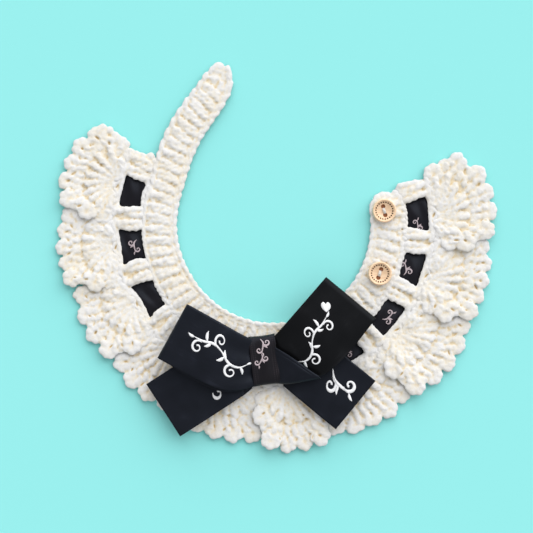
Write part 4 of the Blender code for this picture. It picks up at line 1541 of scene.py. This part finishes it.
def show_bow():
    """The bow: two loops, the fold over one's corner, two free ends, the wrap, and their prints."""
    wide = satin("satin_wide_black", (0.0080, 0.0090, 0.0135), WIDE_RIBBON)
    white = plain("print_white", (0.86, 0.87, 0.90), 0.5)
    show_loops(wide, white)
    fold = show(make_cloth("bow_loop_right_fold", right_fold(), wide))
    show_tails(wide, white)
    show_knot()


def show_loops(wide, white):
    """The bow's two loops; the right one gets a darker, less glossy copy of the same satin: painted shade.
    """
    # Painted shade: a darker copy of the wide satin for the right loop
    deep = satin("satin_wide_shaded", (0.0054, 0.0055, 0.0062), WIDE_RIBBON, gloss=0.10,
                 tint=(0.80, 0.88, 1.0, 1.0))
    for side, black, table, knot, shape, length in (
        ("left", wide, LEFT_LOOP, 0.1, {"bow": 2.0}, 0.112),
        ("right", deep, RIGHT_LOOP, 0.45, {"dip": right_dip}, 0.132),
    ):
        node = f"bow_loop_{side}"
        grid, front = make_loop(records(LOOP_COLUMNS, table), knot, **shape)
        loop = show(make_cloth(f"{node}_satin", grid, black), node)
        prints = Print(front)
        if side == "left":
            vine(Pen(prints, 7.0, 21.0, -14.0, 13.4))
        else:
            vine(Pen(prints, 14.5, 26.6, -25.0, 11.6))
            Pen(prints, 49.6, 11.0, 226.0, 3.2).heart(0.0, 0.0, 1.0)
        ink = show(prints.build(f"{node}_print", white))


def show_tails(wide, white):
    """The bow's two free ends."""
    for side, table, phase, length in (("left", LEFT_TAIL, 0.2, 0.063), ("right", RIGHT_TAIL, 0.6, 0.054)):
        node = f"bow_tail_{side}"
        grid = tail_grid(records(TAIL_COLUMNS, table), phase)
        tail = show(make_cloth(f"{node}_satin", grid, wide), node)
        prints = Print(grid)
        if side == "left":
            Pen(prints, 25.2, 28.6, 30.0, 11.0).curl(0.0, 0.0, 0.34, -60, 0.85, 1, wide=0.17)
        else:
            sprig(Pen(prints, 32.0, 11.0, 24.0, 17.0))
        ink = show(prints.build(f"{node}_print", white))


def show_knot():
    """The wrap round the bow's gathers."""
    ribbed = satin("satin_knot_black", (0.0115, 0.0092, 0.0105), KNOT_WIDTH, ribbed=True)
    faded = plain("print_knot", (0.50, 0.42, 0.45), 0.6)
    grid = knot_grid()
    knot = show(make_cloth("bow_knot_satin", grid, ribbed, closed=True), "bow_knot")
    prints = Print(grid[4:46])
    sprig(Pen(prints, 2.5, 7.4, 8.0, 9.0))
    sprig(Pen(prints, 11.5, 7.0, -12.0, 8.0))
    ink = show(prints.build("bow_knot_print", faded))


def show_buttons():
    """Both buttons and the thread that holds each."""
    timber = wood("button_wood", (0.89, 0.66, 0.45), (0.78, 0.51, 0.31))
    burnt = plain("button_burnt", (0.10, 0.035, 0.012), 0.7)
    # Dark brown lining for the holes: painted shade
    hole_shade = plain("button_hole_shade", (0.36, 0.14, 0.055), 0.7)
    thread = cotton("thread_white")
    for name, x, y, turn in BUTTONS:
        button = make_button(f"button_{name}_turned", x, y, turn, timber, burnt, hole_shade)
        show(button, f"button_{name}")
        strands = make_thread(f"button_thread_{name}_strands", x, y, turn, thread)
        show(strands, f"button_thread_{name}")


def main():
    """Build the stage and every piece."""
    make_stage()
    yarn = cotton("cotton_yarn")
    show_cotton(yarn)
    show_woven_ribbon()
    show_bow()
    show_buttons()


main()
